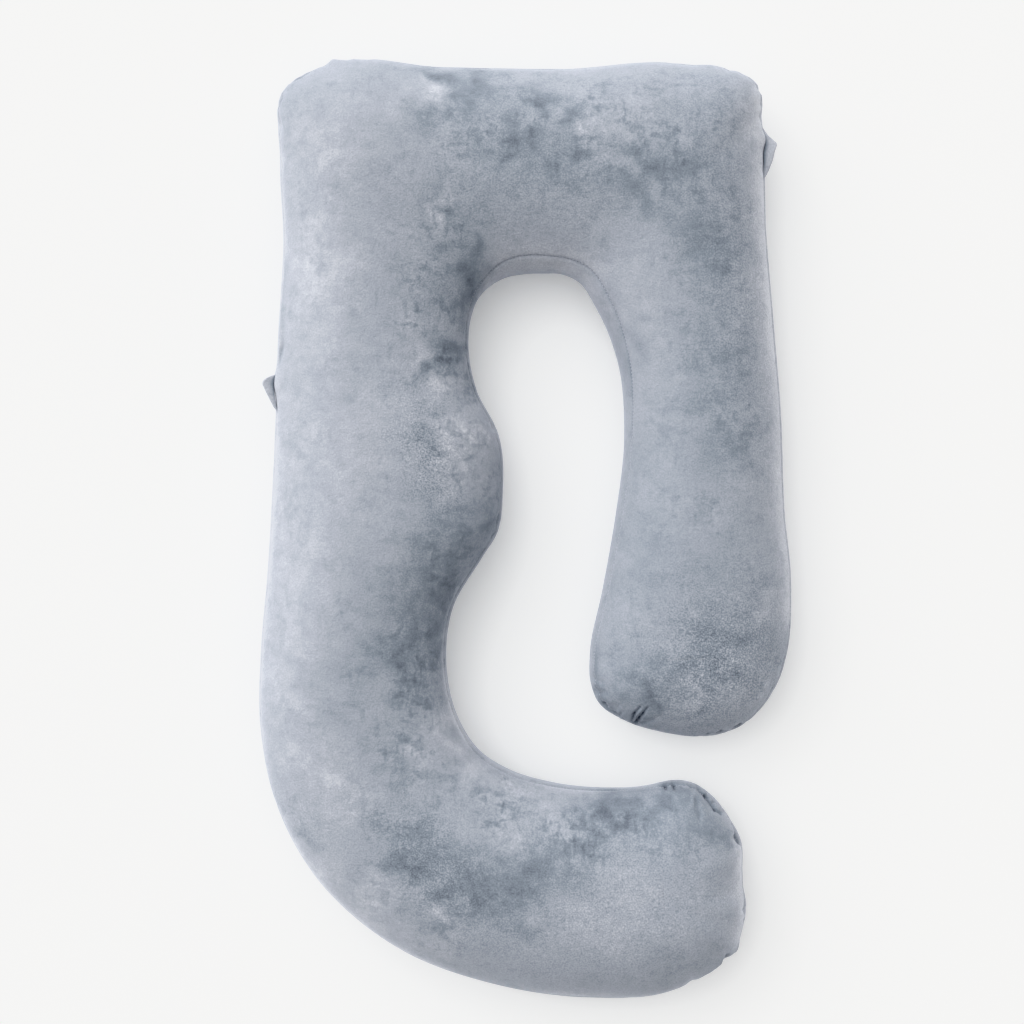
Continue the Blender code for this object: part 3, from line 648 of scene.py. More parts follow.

# %% [markdown]
# ## Which way the nap lies, and where light and shade are painted
# Some strokes paint light and shade as well: the broad pale patches down the left side, which faces the
# window, and dark strokes along the inner edge of the long side, which faces away from it.
#
# Velour changes tone with the way its pile leans. A hand that has stroked it one way leaves a pale patch,
# and the other way a dark one, so the cover is cloudy all over. The patches are strokes, given in a table:
# where, how long and wide, at what angle, and how pale (above 0) or dark (below) each is. A tone of 0.7 is
# about twice as bright.
#
# Three more tables go with it. RUFFLED says where the finer marks are strongest, and TIPS where the ends
# of the fibres show as a fine grain. The third follows the seam and paints light and shade along it: a
# pale painted sheen on the rims, painted shade on edges that face away from the window, in the seam's
# groove and in the gaps beside the tabs, and the lower wall of the hollow painted paler, as lit from the
# floor. A fold is painted darker, as painted shade in its crease, and a ridge is painted paler.
#
# All this is kept in the mesh as four attributes, and the material adds the finer clouds to them. The
# first is the sum of the tones, painted light and shade included. "torn" is how strong the strokes alone
# are, so that the material can make their edges ragged. "ruffle" and "tips" come from the tables of those
# names. Clouds from noise alone would be as pale on the dark side as on the pale one.

# %% Strokes of the nap, some of them painted light and shade
Stroke = namedtuple("Stroke", "x y half_length half_width angle_deg tone")
STROKES = [
    # broad patches; the pale ones down the left side are painted light, from the window
    Stroke(-0.310, 0.420, 0.300, 0.090, 90, 0.08),
    Stroke(-0.340, 0.050, 0.330, 0.080, 90, 0.14),
    Stroke(-0.360, -0.250, 0.160, 0.050, 88, 0.12),
    Stroke(-0.230, 0.100, 0.120, 0.060, 85, 0.08),
    Stroke(0.275, 0.280, 0.260, 0.040, 88, -0.16),
    Stroke(0.160, 0.310, 0.110, 0.050, 95, 0.14),
    Stroke(0.230, -0.200, 0.120, 0.060, 0, -0.10),
    Stroke(0.150, -0.560, 0.110, 0.050, 10, 0.12),
    Stroke(-0.250, -0.540, 0.120, 0.035, 140, 0.18),
    # top
    Stroke(-0.128, 0.662, 0.024, 0.017, 110, -0.44),
    Stroke(-0.129, 0.658, 0.018, 0.014, 110, -0.16),
    Stroke(-0.085, 0.650, 0.050, 0.025, 80, -0.34),
    Stroke(-0.060, 0.640, 0.020, 0.025, 80, -0.22),
    Stroke(-0.190, 0.630, 0.030, 0.018, 100, 0.16),
    Stroke(-0.134, 0.630, 0.024, 0.016, 90, 0.40),
    Stroke(0.018, 0.630, 0.040, 0.015, 95, -0.20),
    Stroke(0.235, 0.625, 0.045, 0.025, 0, -0.12),
    Stroke(0.032, 0.617, 0.020, 0.014, 0, -0.20),
    Stroke(0.016, 0.617, 0.014, 0.012, 0, -0.20),
    Stroke(0.065, 0.617, 0.016, 0.012, 0, 0.20),
    Stroke(0.335, 0.600, 0.060, 0.028, 90, 0.14),
    Stroke(0.073, 0.598, 0.018, 0.012, 20, -0.34),
    Stroke(0.078, 0.592, 0.014, 0.010, 0, -0.25),
    Stroke(0.003, 0.588, 0.014, 0.018, 0, 0.20),
    Stroke(-0.145, 0.586, 0.030, 0.022, 40, -0.28),
    Stroke(0.090, 0.575, 0.020, 0.015, 60, 0.14),
    Stroke(-0.050, 0.575, 0.050, 0.040, 20, -0.18),
    Stroke(0.136, 0.575, 0.018, 0.018, 0, 0.16),
    Stroke(0.084, 0.566, 0.024, 0.014, 30, 0.28),
    Stroke(-0.285, 0.560, 0.060, 0.050, 60, 0.14),
    Stroke(0.020, 0.560, 0.060, 0.040, 150, -0.22),
    Stroke(0.005, 0.558, 0.030, 0.026, 60, -0.12),
    Stroke(-0.020, 0.550, 0.040, 0.020, 20, -0.16),
    Stroke(0.230, 0.550, 0.040, 0.050, 90, -0.18),
    Stroke(0.165, 0.545, 0.026, 0.010, 140, -0.25),
    Stroke(0.165, 0.540, 0.045, 0.028, 160, -0.20),
    Stroke(-0.017, 0.538, 0.020, 0.012, 45, -0.25),
    Stroke(0.060, 0.535, 0.050, 0.030, 60, -0.16),
    Stroke(0.158, 0.528, 0.020, 0.014, 140, 0.20),
    Stroke(0.181, 0.518, 0.016, 0.010, 140, -0.25),
    Stroke(-0.010, 0.510, 0.050, 0.025, 20, -0.16),
    Stroke(0.140, 0.500, 0.050, 0.025, 0, -0.26),
    Stroke(0.220, 0.495, 0.050, 0.030, 20, -0.20),
    Stroke(0.195, 0.487, 0.034, 0.010, 145, 0.24),
    Stroke(-0.145, 0.478, 0.016, 0.012, 60, -0.18),
    Stroke(-0.120, 0.468, 0.020, 0.016, 30, 0.26),
    Stroke(0.180, 0.465, 0.040, 0.020, 160, -0.18),
    # short arm
    Stroke(0.248, 0.435, 0.050, 0.030, 90, -0.12),
    Stroke(0.226, 0.431, 0.028, 0.026, 90, -0.12),
    Stroke(0.320, 0.420, 0.045, 0.030, 60, -0.14),
    Stroke(0.262, 0.385, 0.030, 0.026, 90, -0.15),
    Stroke(0.160, 0.270, 0.030, 0.015, 100, -0.22),
    Stroke(0.322, 0.250, 0.050, 0.025, 80, -0.14),
    Stroke(0.300, 0.125, 0.050, 0.030, 60, -0.12),
    Stroke(0.316, 0.121, 0.018, 0.020, 90, -0.20),
    Stroke(0.166, -0.042, 0.050, 0.030, 80, -0.14),
    Stroke(0.250, -0.080, 0.060, 0.040, 70, -0.10),
    Stroke(0.352, -0.086, 0.016, 0.012, 30, -0.20),
    Stroke(0.353, -0.122, 0.045, 0.010, 50, 0.22),
    Stroke(0.290, -0.150, 0.070, 0.035, 40, -0.22),
    Stroke(0.363, -0.173, 0.030, 0.014, 80, -0.16),
    Stroke(0.220, -0.195, 0.060, 0.015, 0, -0.20),
    Stroke(0.239, -0.217, 0.030, 0.014, 60, 0.24),
    Stroke(0.272, -0.222, 0.025, 0.014, 40, -0.28),
    Stroke(0.170, -0.235, 0.060, 0.030, 10, -0.20),
    Stroke(0.112, -0.250, 0.030, 0.020, 120, -0.20),
    Stroke(0.184, -0.258, 0.022, 0.010, 70, -0.45),
    Stroke(0.176, -0.266, 0.020, 0.012, 60, -0.20),
    Stroke(0.280, -0.268, 0.030, 0.015, 20, -0.08),
    Stroke(0.120, -0.272, 0.035, 0.010, 145, -0.30),
    Stroke(0.172, -0.289, 0.018, 0.007, 155, -0.50),
    # left of the hollow: the dark strokes are partly painted shade on the long side's inner edge
    Stroke(-0.105, 0.430, 0.050, 0.030, 60, -0.22),
    Stroke(-0.063, 0.402, 0.014, 0.010, 0, -0.30),
    Stroke(-0.290, 0.370, 0.080, 0.060, 90, 0.10),
    Stroke(-0.083, 0.358, 0.034, 0.020, 70, -0.62),
    Stroke(-0.120, 0.335, 0.040, 0.025, 30, -0.12),
    Stroke(-0.094, 0.270, 0.032, 0.010, 90, -0.30),
    Stroke(-0.108, 0.262, 0.020, 0.014, 0, -0.25),
    Stroke(-0.172, 0.260, 0.030, 0.010, 140, 0.14),
    Stroke(-0.119, 0.238, 0.022, 0.017, 50, -0.66),
    Stroke(-0.157, 0.238, 0.014, 0.012, 50, 0.26),
    Stroke(-0.145, 0.232, 0.032, 0.010, 20, -0.22),
    Stroke(-0.083, 0.212, 0.014, 0.012, 60, -0.30),
    Stroke(-0.120, 0.196, 0.036, 0.013, 0, 0.18),
    Stroke(-0.074, 0.190, 0.020, 0.010, 60, -0.24),
    # the full middle
    Stroke(-0.146, 0.130, 0.060, 0.018, 90, -0.14),
    Stroke(-0.075, 0.120, 0.070, 0.032, 85, 0.26),
    Stroke(-0.119, 0.116, 0.026, 0.018, 90, 0.28),
    Stroke(-0.129, 0.058, 0.018, 0.014, 90, 0.16),
    Stroke(-0.110, 0.018, 0.038, 0.032, 60, -0.30),
    Stroke(-0.043, 0.012, 0.038, 0.009, 72, -0.12),
    Stroke(-0.088, 0.009, 0.014, 0.012, 0, -0.35),
    Stroke(-0.055, 0.000, 0.040, 0.014, 60, -0.22),
    Stroke(-0.085, -0.003, 0.020, 0.012, 60, -0.16),
    # below the full middle
    Stroke(-0.135, -0.055, 0.045, 0.036, 30, -0.24),
    Stroke(-0.097, -0.074, 0.020, 0.012, 60, -0.25),
    Stroke(-0.205, -0.078, 0.050, 0.018, 10, -0.18),
    Stroke(-0.110, -0.110, 0.020, 0.014, 90, -0.26),
    Stroke(-0.113, -0.130, 0.090, 0.022, 80, -0.16),
    Stroke(-0.155, -0.140, 0.060, 0.035, 70, -0.22),
    Stroke(-0.122, -0.150, 0.034, 0.014, 80, -0.24),
    Stroke(-0.125, -0.160, 0.030, 0.020, 60, -0.14),
    Stroke(-0.205, -0.175, 0.060, 0.035, 45, -0.20),
    Stroke(-0.176, -0.208, 0.014, 0.010, 0, -0.20),
    Stroke(-0.158, -0.214, 0.032, 0.014, 150, -0.24),
    Stroke(-0.255, -0.215, 0.090, 0.045, 70, -0.06),
    Stroke(-0.165, -0.235, 0.045, 0.030, 100, -0.28),
    Stroke(-0.120, -0.285, 0.060, 0.018, 115, 0.26),
    Stroke(-0.230, -0.288, 0.050, 0.020, 0, -0.14),
    Stroke(-0.150, -0.322, 0.014, 0.014, 60, 0.14),
    Stroke(-0.180, -0.325, 0.020, 0.016, 90, -0.22),
    # the bend at the foot
    Stroke(-0.186, -0.350, 0.030, 0.018, 60, -0.20),
    Stroke(-0.050, -0.360, 0.060, 0.016, 152, 0.14),
    Stroke(-0.285, -0.375, 0.060, 0.035, 100, 0.18),
    Stroke(-0.240, -0.415, 0.024, 0.020, 60, 0.12),
    Stroke(-0.172, -0.430, 0.046, 0.022, 10, -0.30),
    Stroke(-0.323, -0.452, 0.018, 0.012, 120, -0.24),
    Stroke(-0.045, -0.455, 0.050, 0.022, 160, 0.10),
    Stroke(0.090, -0.458, 0.035, 0.020, 150, -0.24),
    Stroke(-0.190, -0.470, 0.030, 0.016, 0, -0.16),
    Stroke(-0.110, -0.470, 0.060, 0.018, 10, -0.18),
    Stroke(-0.032, -0.479, 0.030, 0.018, 0, -0.16),
    Stroke(-0.165, -0.480, 0.036, 0.024, 60, -0.34),
    Stroke(0.024, -0.490, 0.070, 0.026, 30, -0.28),
    Stroke(0.080, -0.494, 0.022, 0.013, 0, -0.18),
    Stroke(-0.216, -0.503, 0.025, 0.020, 60, 0.16),
    Stroke(-0.095, -0.515, 0.050, 0.034, 150, -0.28),
    Stroke(0.050, -0.520, 0.040, 0.026, 160, -0.16),
    Stroke(-0.117, -0.524, 0.016, 0.022, 90, -0.20),
    Stroke(-0.075, -0.528, 0.018, 0.014, 60, 0.16),
    Stroke(-0.030, -0.530, 0.060, 0.040, 170, -0.32),
    Stroke(-0.129, -0.546, 0.014, 0.012, 0, 0.38),
    Stroke(0.010, -0.550, 0.030, 0.010, 140, 0.16),
    Stroke(-0.070, -0.560, 0.024, 0.016, 160, -0.16),
    Stroke(-0.133, -0.566, 0.015, 0.011, 0, -0.42),
    Stroke(0.016, -0.574, 0.030, 0.014, 0, -0.15),
    # leg
    Stroke(0.230, -0.394, 0.032, 0.012, 0, -0.22),
    Stroke(0.150, -0.398, 0.030, 0.012, 0, -0.26),
    Stroke(0.235, -0.405, 0.040, 0.030, 0, -0.18),
    Stroke(0.185, -0.410, 0.034, 0.024, 30, -0.26),
    Stroke(0.120, -0.425, 0.042, 0.026, 0, -0.46),
    Stroke(0.148, -0.436, 0.018, 0.011, 30, 0.25),
    Stroke(0.122, -0.437, 0.038, 0.011, 145, -0.30),
    Stroke(0.276, -0.440, 0.022, 0.018, 120, -0.28),
    Stroke(0.236, -0.452, 0.036, 0.018, 20, -0.20),
    Stroke(0.206, -0.550, 0.040, 0.030, 0, -0.10),
]
RUFFLED = [                # where fingers have ruffled the pile: here its marks are strongest
    Stroke(-0.010, 0.600, 0.140, 0.060, 0, 0.55),
    Stroke(0.190, 0.560, 0.120, 0.080, 0, 0.35),
    Stroke(-0.130, 0.400, 0.150, 0.050, 75, 0.55),        # the inner side of the long side
    Stroke(-0.115, 0.210, 0.110, 0.045, 95, 0.60),
    Stroke(-0.085, 0.050, 0.090, 0.045, 85, 0.45),
    Stroke(-0.150, -0.130, 0.110, 0.045, 80, 0.60),
    Stroke(-0.160, -0.300, 0.110, 0.045, 110, 0.60),
    Stroke(-0.030, -0.405, 0.110, 0.040, 155, 0.80),
    Stroke(0.140, -0.430, 0.110, 0.035, 0, 0.50),
    Stroke(-0.150, -0.530, 0.100, 0.055, 140, 0.50),
    Stroke(-0.340, -0.430, 0.040, 0.025, 110, 0.40),
    Stroke(0.295, 0.250, 0.300, 0.040, 92, 0.35),
    Stroke(0.250, -0.230, 0.060, 0.035, 30, 0.60),
]
TIPS = [                   # where the tips of the pile catch the light, and show most as a fine grain
    Stroke(0.020, 0.520, 0.200, 0.120, 0, 0.38),
    Stroke(0.310, 0.330, 0.300, 0.070, 95, 0.50),
    Stroke(0.280, -0.200, 0.110, 0.090, 60, 1.20),
    Stroke(-0.145, 0.110, 0.090, 0.035, 105, 0.85),
    Stroke(-0.130, 0.300, 0.150, 0.050, 90, 0.25),
    Stroke(-0.160, -0.130, 0.150, 0.060, 90, 0.25),
    Stroke(-0.140, -0.480, 0.100, 0.050, 125, 0.70),
    Stroke(0.120, -0.550, 0.240, 0.130, 0, 0.50),
    Stroke(-0.300, -0.430, 0.080, 0.060, 120, 0.20),
]
# Painted light and shade along the seam: a pale painted sheen on the rims, painted shade on edges that face
# away from the window, in the seam's groove and in the gaps beside the tabs, and the lower wall of the
# hollow painted paler, as lit from the floor.
PaintedEdge = namedtuple("PaintedEdge", "x0 y0 x1 y1 panel width tone")
EDGE_LIGHT_AND_SHADE = [                 # anticlockwise along the seam; panel 1 is the upper one, and -1 the lower
    # right side, and the squarish top
    PaintedEdge(0.389, -0.150, 0.347, 0.655, 1, 0.038, 0.46),
    PaintedEdge(0.389, -0.150, 0.347, 0.655, -1, 0.025, 0.28),
    PaintedEdge(0.370, 0.230, 0.352, 0.540, 1, 0.060, 0.14),
    PaintedEdge(0.300, 0.685, -0.130, 0.686, 1, 0.012, 0.20),
    # left side, down to the leg
    PaintedEdge(-0.366, 0.600, -0.375, -0.380, 1, 0.016, 0.24),
    PaintedEdge(-0.366, 0.600, -0.375, -0.380, -1, 0.025, 0.20),
    PaintedEdge(-0.366, 0.410, -0.372, 0.240, 1, 0.014, -0.48),
    PaintedEdge(-0.360, -0.430, -0.120, -0.650, 1, 0.022, 0.42),
    PaintedEdge(0.020, -0.695, 0.240, -0.680, 1, 0.020, 0.34),
    # round the leg's end and along its upper edge
    PaintedEdge(0.266, -0.668, 0.308, -0.636, 1, 0.018, -0.55),
    PaintedEdge(0.312, -0.620, 0.328, -0.450, 1, 0.038, 0.52),
    PaintedEdge(0.312, -0.620, 0.328, -0.450, -1, 0.025, 0.22),
    PaintedEdge(0.331, -0.500, 0.308, -0.445, 1, 0.024, 0.34),
    PaintedEdge(0.240, -0.384, 0.200, -0.380, 1, 0.010, 0.22),
    PaintedEdge(0.190, -0.386, 0.135, -0.387, 1, 0.014, -0.50),
    PaintedEdge(0.120, -0.388, 0.020, -0.380, 1, 0.014, 0.28),
    # inside the bend, and the full middle above it
    PaintedEdge(-0.080, -0.320, -0.085, -0.080, 1, 0.014, 0.55),
    PaintedEdge(-0.080, -0.320, -0.085, -0.080, -1, 0.025, 0.35),
    PaintedEdge(-0.072, -0.052, -0.034, 0.050, 1, 0.012, -0.30),
    PaintedEdge(-0.033, 0.055, -0.037, 0.105, 1, 0.014, -0.30),
    PaintedEdge(-0.072, -0.052, -0.034, 0.050, -1, 0.025, 0.10),
    # the wall of the hollow, painted paler as lit from the floor, and painted shade in the seam along it
    PaintedEdge(-0.080, 0.320, 0.077, 0.369, -1, 0.070, 0.50),
    PaintedEdge(0.077, 0.369, 0.105, 0.330, -1, 0.070, 0.28),
    PaintedEdge(0.128, 0.285, 0.148, 0.190, -1, 0.070, -0.16),
    PaintedEdge(-0.080, 0.320, 0.110, 0.325, -1, 0.014, -0.24),
    PaintedEdge(-0.060, 0.350, 0.148, 0.150, -1, 0.0025, -0.22),
    PaintedEdge(-0.060, 0.350, 0.148, 0.150, 1, 0.0020, -0.22),
    PaintedEdge(-0.050, 0.362, 0.090, 0.355, 1, 0.030, 0.30),
    # short arm's end: painted shade round its edge
    PaintedEdge(0.095, -0.170, 0.285, -0.306, 1, 0.014, -0.42),
    # painted shade in the gap beside each tab
    PaintedEdge(0.354, 0.520, 0.356, 0.575, 1, 0.0035, -0.90),
    PaintedEdge(0.354, 0.520, 0.355, 0.540, 1, 0.0045, -1.40),
    PaintedEdge(-0.374, 0.232, -0.372, 0.170, 1, 0.0035, -0.70),
    PaintedEdge(-0.373, 0.180, -0.372, 0.172, 1, 0.0045, -1.60),
]
EDGE_PAINT_FADE = 3            # a painted edge fades out at its ends over this many of its widths,
LONGEST_FADE = 0.060       # and over no more than this length
FOLD_PAINTED_SHADE = 75            # painted shade: how much darker a fold is painted, in tone for each metre of its depth; a ridge is painted paler
SMOOTH_PILE = 0.30         # ruffle where nothing has touched the pile
PLAIN_TIPS = 0.30          # tips everywhere else
Wave = namedtuple("Wave", "length angle_deg phase shift")
WAVES = [                  # they bend the strokes, so that none is a plain oval
    Wave(0.110, 20, 0.4, 0.010),
    Wave(0.074, 105, 2.1, 0.008),
    Wave(0.053, 58, 4.0, 0.007),
    Wave(0.037, 152, 1.3, 0.005),
    Wave(0.028, 84, 5.2, 0.004),
    Wave(0.021, 33, 3.1, 0.003),
]


def stroked(grid, strokes):
    """Sum of the strokes: tone * exp(-(along / half length) ^ 2 - (across / half width) ^ 2).

    Each wave first shifts every point across its own crests by shift * sin(2 pi * distance / length).
    """
    place = grid[..., :2].copy()
    for wave in WAVES:
        angle = np.radians(wave.angle_deg)
        run = np.array([np.cos(angle), np.sin(angle)])
        swing = np.sin(2 * np.pi * (grid[..., :2] @ run) / wave.length + wave.phase)
        place += wave.shift * swing[..., None] * np.array([-run[1], run[0]])
    tone = np.zeros(grid.shape[:2])
    for stroke in strokes:
        angle = np.radians(stroke.angle_deg)
        x, y = place[..., 0] - stroke.x, place[..., 1] - stroke.y
        along, across = x * np.cos(angle) + y * np.sin(angle), y * np.cos(angle) - x * np.sin(angle)
        tone += stroke.tone * np.exp(-(along / stroke.half_length) ** 2 - (across / stroke.half_width) ** 2)
    return tone


# Paints light and shade into the tone along the seam.
def painted_edge_light(grid):
    """Sum of tone * exp(-(distance from the seam / width) ^ 2), each on its own panel.

    At its ends, each is faded with a smooth step, share ^ 2 * (3 - 2 * share).
    """
    line, run, length = seam_line(grid)
    from_seam = from_seam_along(grid)
    tone = np.zeros(grid.shape[:2])
    for edge in EDGE_LIGHT_AND_SHADE:
        start, end = run[nearest_rib(line, edge.x0, edge.y0)], run[nearest_rib(line, edge.x1, edge.y1)]
        half = (end - start) % length / 2
        off_middle = (run - start - half + length / 2) % length - length / 2
        inside = (half - np.abs(off_middle)) / min(EDGE_PAINT_FADE * edge.width, LONGEST_FADE)
        share = np.clip(inside + 0.5, 0, 1)
        window = share ** 2 * (3 - 2 * share)
        side = np.clip(0.5 + edge.panel * from_seam / SEAM_HALF_WIDTH, 0, 1)
        tone += edge.tone * window[:, None] * side * np.exp(-(from_seam / edge.width) ** 2)
    return tone


strokes = stroked(folded_shape, STROKES)
# The nap's tone with painted light and shade added: along the seam's edges, and painted shade in the folds.
nap = strokes + painted_edge_light(sewn_shape) - FOLD_PAINTED_SHADE * fold_depths
ruffle = SMOOTH_PILE + stroked(folded_shape, RUFFLED)
tips = PLAIN_TIPS + stroked(folded_shape, TIPS)
print(len(STROKES), "strokes, nap from", round(nap.min(), 2), "to", round(nap.max(), 2))

# %% The pillow as one piece
pillow = new_piece("pillow_cover", folded_shape, grid_faces(*folded_shape.shape[:2]).tolist(),
                   {"nap": nap, "torn": np.abs(strokes), "ruffle": ruffle, "tips": tips})
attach(pillow, "root")
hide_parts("pillow")
print("pillow_cover:", triangle_count(pillow), "triangles")

# %% [markdown]
# ## Two small tabs
#
# A tab is a strip of the cover's own cloth, folded along its middle and caught in the seam at both ends,
# so that it stands out as a flat loop. Its section is one closed line: a round nose, and two layers that
# run back towards the seam with a thin gap between them. That section is carried down the seam, and each
# tab has a short table of how wide it is on the way, and how far its inner edge stands off the seam. Each
# is widest in its upper half and tapers towards its ends. A plane with a thickness would have a hard fold
# instead of a nose.

# %% Tabs in the seam
Tab = namedtuple("Tab", "name x y length width flat_width tone steps")
TabStep = namedtuple("TabStep", "along width stand_off")      # shares of length, width and TAB_BOW
TABS = [                   # (x, y) is the upper end, on the seam
    Tab("tab_right", 0.353, 0.592, 0.075, 0.0200, 0.027, 0.28, [
        TabStep(0.00, 0.14, 0.0),
        TabStep(0.16, 0.26, 0.3),
        TabStep(0.34, 1.00, 0.5),
        TabStep(0.50, 0.92, 0.5),
        TabStep(0.66, 0.78, 0.7),
        TabStep(0.85, 0.50, 1.0),
        TabStep(0.95, 0.28, 0.6),
        TabStep(1.00, 0.14, 0.0),
    ]),
    Tab("tab_left", -0.372, 0.228, 0.053, 0.0188, 0.028, 0.28, [
        TabStep(0.00, 0.20, 0.0),
        TabStep(0.06, 0.60, 0.0),
        TabStep(0.16, 0.92, 0.3),
        TabStep(0.26, 1.00, 0.5),
        TabStep(0.50, 0.78, 0.8),
        TabStep(0.75, 0.54, 1.0),
        TabStep(0.92, 0.32, 0.6),
        TabStep(1.00, 0.14, 0.0),
    ]),
]
TAB_ROUNDING = 5           # rounds of smoothing along the seam, for the corners of these steps
TAB_LAYER = 0.0018         # one thickness of pile cloth
TAB_OPEN_HALF = 0.0006     # half the gap between the layers
TAB_BOW = 0.0030           # the most that a tab's inner edge stands off the seam
TAB_RIPPLE = 0.0007
RIPPLE_ALONG = 14          # radians of the ripple over a tab's length,
RIPPLE_ACROSS = 60         # and for each metre across it
TAB_ROOT_SHADE = -1.1      # painted shade: the tone at the seam,
TAB_SHADE_REACH = 0.0055   # and how far it reaches where the tab is widest
TAB_ALONG, TAB_NOSE, TAB_BACK = 60, 16, 10      # faces along the seam, round the nose and along a layer


def tab_section(width, stand_off):
    """The folded strip's section for each step, as out and up: over the nose and back inside it.

    The nose is two half circles about one centre, TAB_OPEN_HALF and TAB_OPEN_HALF + TAB_LAYER in radius,
    and the layers are straight.
    """
    half = TAB_OPEN_HALF + TAB_LAYER
    nose = (width - half)[:, None]
    root = np.minimum(stand_off[:, None], nose)
    turn = np.linspace(np.pi / 2, -np.pi / 2, TAB_NOSE + 1)
    back = root + (nose - root) * np.linspace(1, 0, TAB_BACK + 1)[1:]
    out = np.hstack([back[:, ::-1], nose + half * np.cos(turn), back,
                     back[:, ::-1], nose + TAB_OPEN_HALF * np.cos(turn), back])
    level = np.concatenate([np.full(TAB_BACK, half), half * np.sin(turn), np.full(TAB_BACK, -half),
                            np.full(TAB_BACK, -TAB_OPEN_HALF), TAB_OPEN_HALF * np.sin(-turn),
                            np.full(TAB_BACK, TAB_OPEN_HALF)])
    return out, np.broadcast_to(level, out.shape)


def seam_path(grid):
    """The seam's points with the plain shape's outward normals, how far along each is, and its length."""
    line, run, length = seam_line(grid)
    return np.hstack([line, outward(stuffed)[:, UPPER_STEPS]]), run, length


def add_tab(tab, grid):
    """Carry the section down the seam from the tab's upper end, with a slight ripple along it."""
    seam, run, length = seam_path(grid)
    upper_end = run[nearest_rib(seam, tab.x, tab.y)]
    downwards = -1 if tab.x > 0 else 1
    steps = np.array(tab.steps)
    places = upper_end + downwards * tab.length * steps[:, 0]
    held = np.column_stack([np.interp(places, run, column, period=length) for column in seam.T])
    along = np.linspace(0, 1, TAB_ALONG + 1)
    rows = np.column_stack([np.interp(along, steps[:, 0], column)
                            for column in np.hstack([held, steps[:, 1:]]).T])
    for _ in range(TAB_ROUNDING):
        rows[1:-1] = (rows[:-2] + 2 * rows[1:-1] + rows[2:]) / 4
    points, out, width, stand_off = rows[:, :3], rows[:, 3:6], tab.width * rows[:, 6], TAB_BOW * rows[:, 7]
    out /= np.linalg.norm(out, axis=1, keepdims=True)
    up = np.cross(out, downwards * np.gradient(points, axis=0))
    up /= np.linalg.norm(up, axis=1, keepdims=True)
    across, level = tab_section(width, stand_off)
    ripple = np.sin(RIPPLE_ALONG * along[:, None] + RIPPLE_ACROSS * across)
    level = level + TAB_RIPPLE * ripple * (across / tab.width)
    strip = points[:, None] + across[..., None] * out[:, None] + level[..., None] * up[:, None]
    count, sides = strip.shape[:2]
    caps = [list(range(sides)), list(range((count - 1) * sides, count * sides))]
    # Painted shade at the tab's root, where it meets the seam.
    shade = TAB_ROOT_SHADE * np.exp(-(across / (TAB_SHADE_REACH * rows[:, 6:7])) ** 2)
    piece = new_piece(tab.name + "_loop", strip, grid_faces(count, sides, False, True).tolist() + caps,
                      {"nap": tab.tone + shade,
                       "ruffle": np.full(strip.shape[:2], SMOOTH_PILE),
                       "tips": np.full(strip.shape[:2], PLAIN_TIPS)})
    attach(piece, "root")
    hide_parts(tab.name)
    return piece


tabs = [add_tab(tab, folded_shape) for tab in TABS]
for tab_piece in tabs:
    print(tab_piece.name + ":", triangle_count(tab_piece), "triangles")

# %% [markdown]
# ## Stitches
#
# The seam is closed with a plain lockstitch in a pale thread. From outside, only the top of each stitch
# shows, as a small bead deep in the valley between the panels. Each is a short rod that thins to nothing
# at both ends, laid along the seam. There are about 1,200, so each has only a few faces, and all of them
# are one piece.

# %% Stitches along the seam
STITCH_LENGTH = 0.0028
STITCH_SPACING = 0.0050
STITCH_RADIUS = 0.0007
STITCH_PROUD = 0.0005      # height of a stitch's middle over the bottom of the seam
STITCH_RINGS, STITCH_SIDES = 6, 6


def stitches(grid):
    """Rods along the seam: radius * sqrt(sin(pi * along)) round a short piece of its line."""
    seam, run, length = seam_path(grid)
    count = int(length / STITCH_SPACING)
    start = np.arange(count) * length / count
    along = np.linspace(0, 1, STITCH_RINGS)
    places = start[:, None] + STITCH_LENGTH * along
    rows = np.stack([np.interp(places, run, column, period=length) for column in seam.T], axis=-1)
    points, out = rows[..., :3], rows[..., 3:]
    out = out / np.maximum(np.linalg.norm(out, axis=-1, keepdims=True), TINY)
    side = np.cross(out, np.gradient(points, axis=1))
    side /= np.maximum(np.linalg.norm(side, axis=-1, keepdims=True), TINY)
    angle = np.arange(STITCH_SIDES) * 2 * np.pi / STITCH_SIDES
    radius = STITCH_RADIUS * np.sqrt(np.maximum(np.sin(np.pi * along), 0))
    ring = np.cos(angle)[:, None] * out[:, :, None] + np.sin(angle)[:, None] * side[:, :, None]
    rods = (points + STITCH_PROUD * out)[:, :, None] + radius[None, :, None, None] * ring
    one = grid_faces(STITCH_RINGS, STITCH_SIDES, False, True)
    first = STITCH_RINGS * STITCH_SIDES * np.arange(count)
    faces = (one[None] + first[:, None, None]).reshape(-1, 4)
    return new_piece("seam_stitches", rods, faces.tolist())


seam_stitches = stitches(folded_shape)
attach(seam_stitches, "root")
print("seam_stitches:", triangle_count(seam_stitches), "triangles")

# %% [markdown]
# ## Velour
#
# Velour is a knit of fine polyester filaments, cut and brushed into a pile about 1 mm high. It scatters
# light from the tips of its fibres, so it has no gloss, looks paler where it turns away, and shows every
# change in the lie of the pile. The colour here is one ramp from the dark side of the nap to the pale
# side, read at the tone that the mesh holds, painted light and shade included, plus clouds of several
# sizes, each given in millimetres. A plain blue-grey with a bump map would look like felt.

# %% Colours, and one helper for nodes
def linear(hex_colour):
    """An sRGB hex colour as linear red, green, blue and alpha."""
    srgb = np.array([int(hex_colour[i:i + 2], 16) for i in (0, 2, 4)]) / 255
    return (*np.where(srgb <= 0.04045, srgb / 12.92, ((srgb + 0.055) / 1.055) ** 2.4), 1.0)


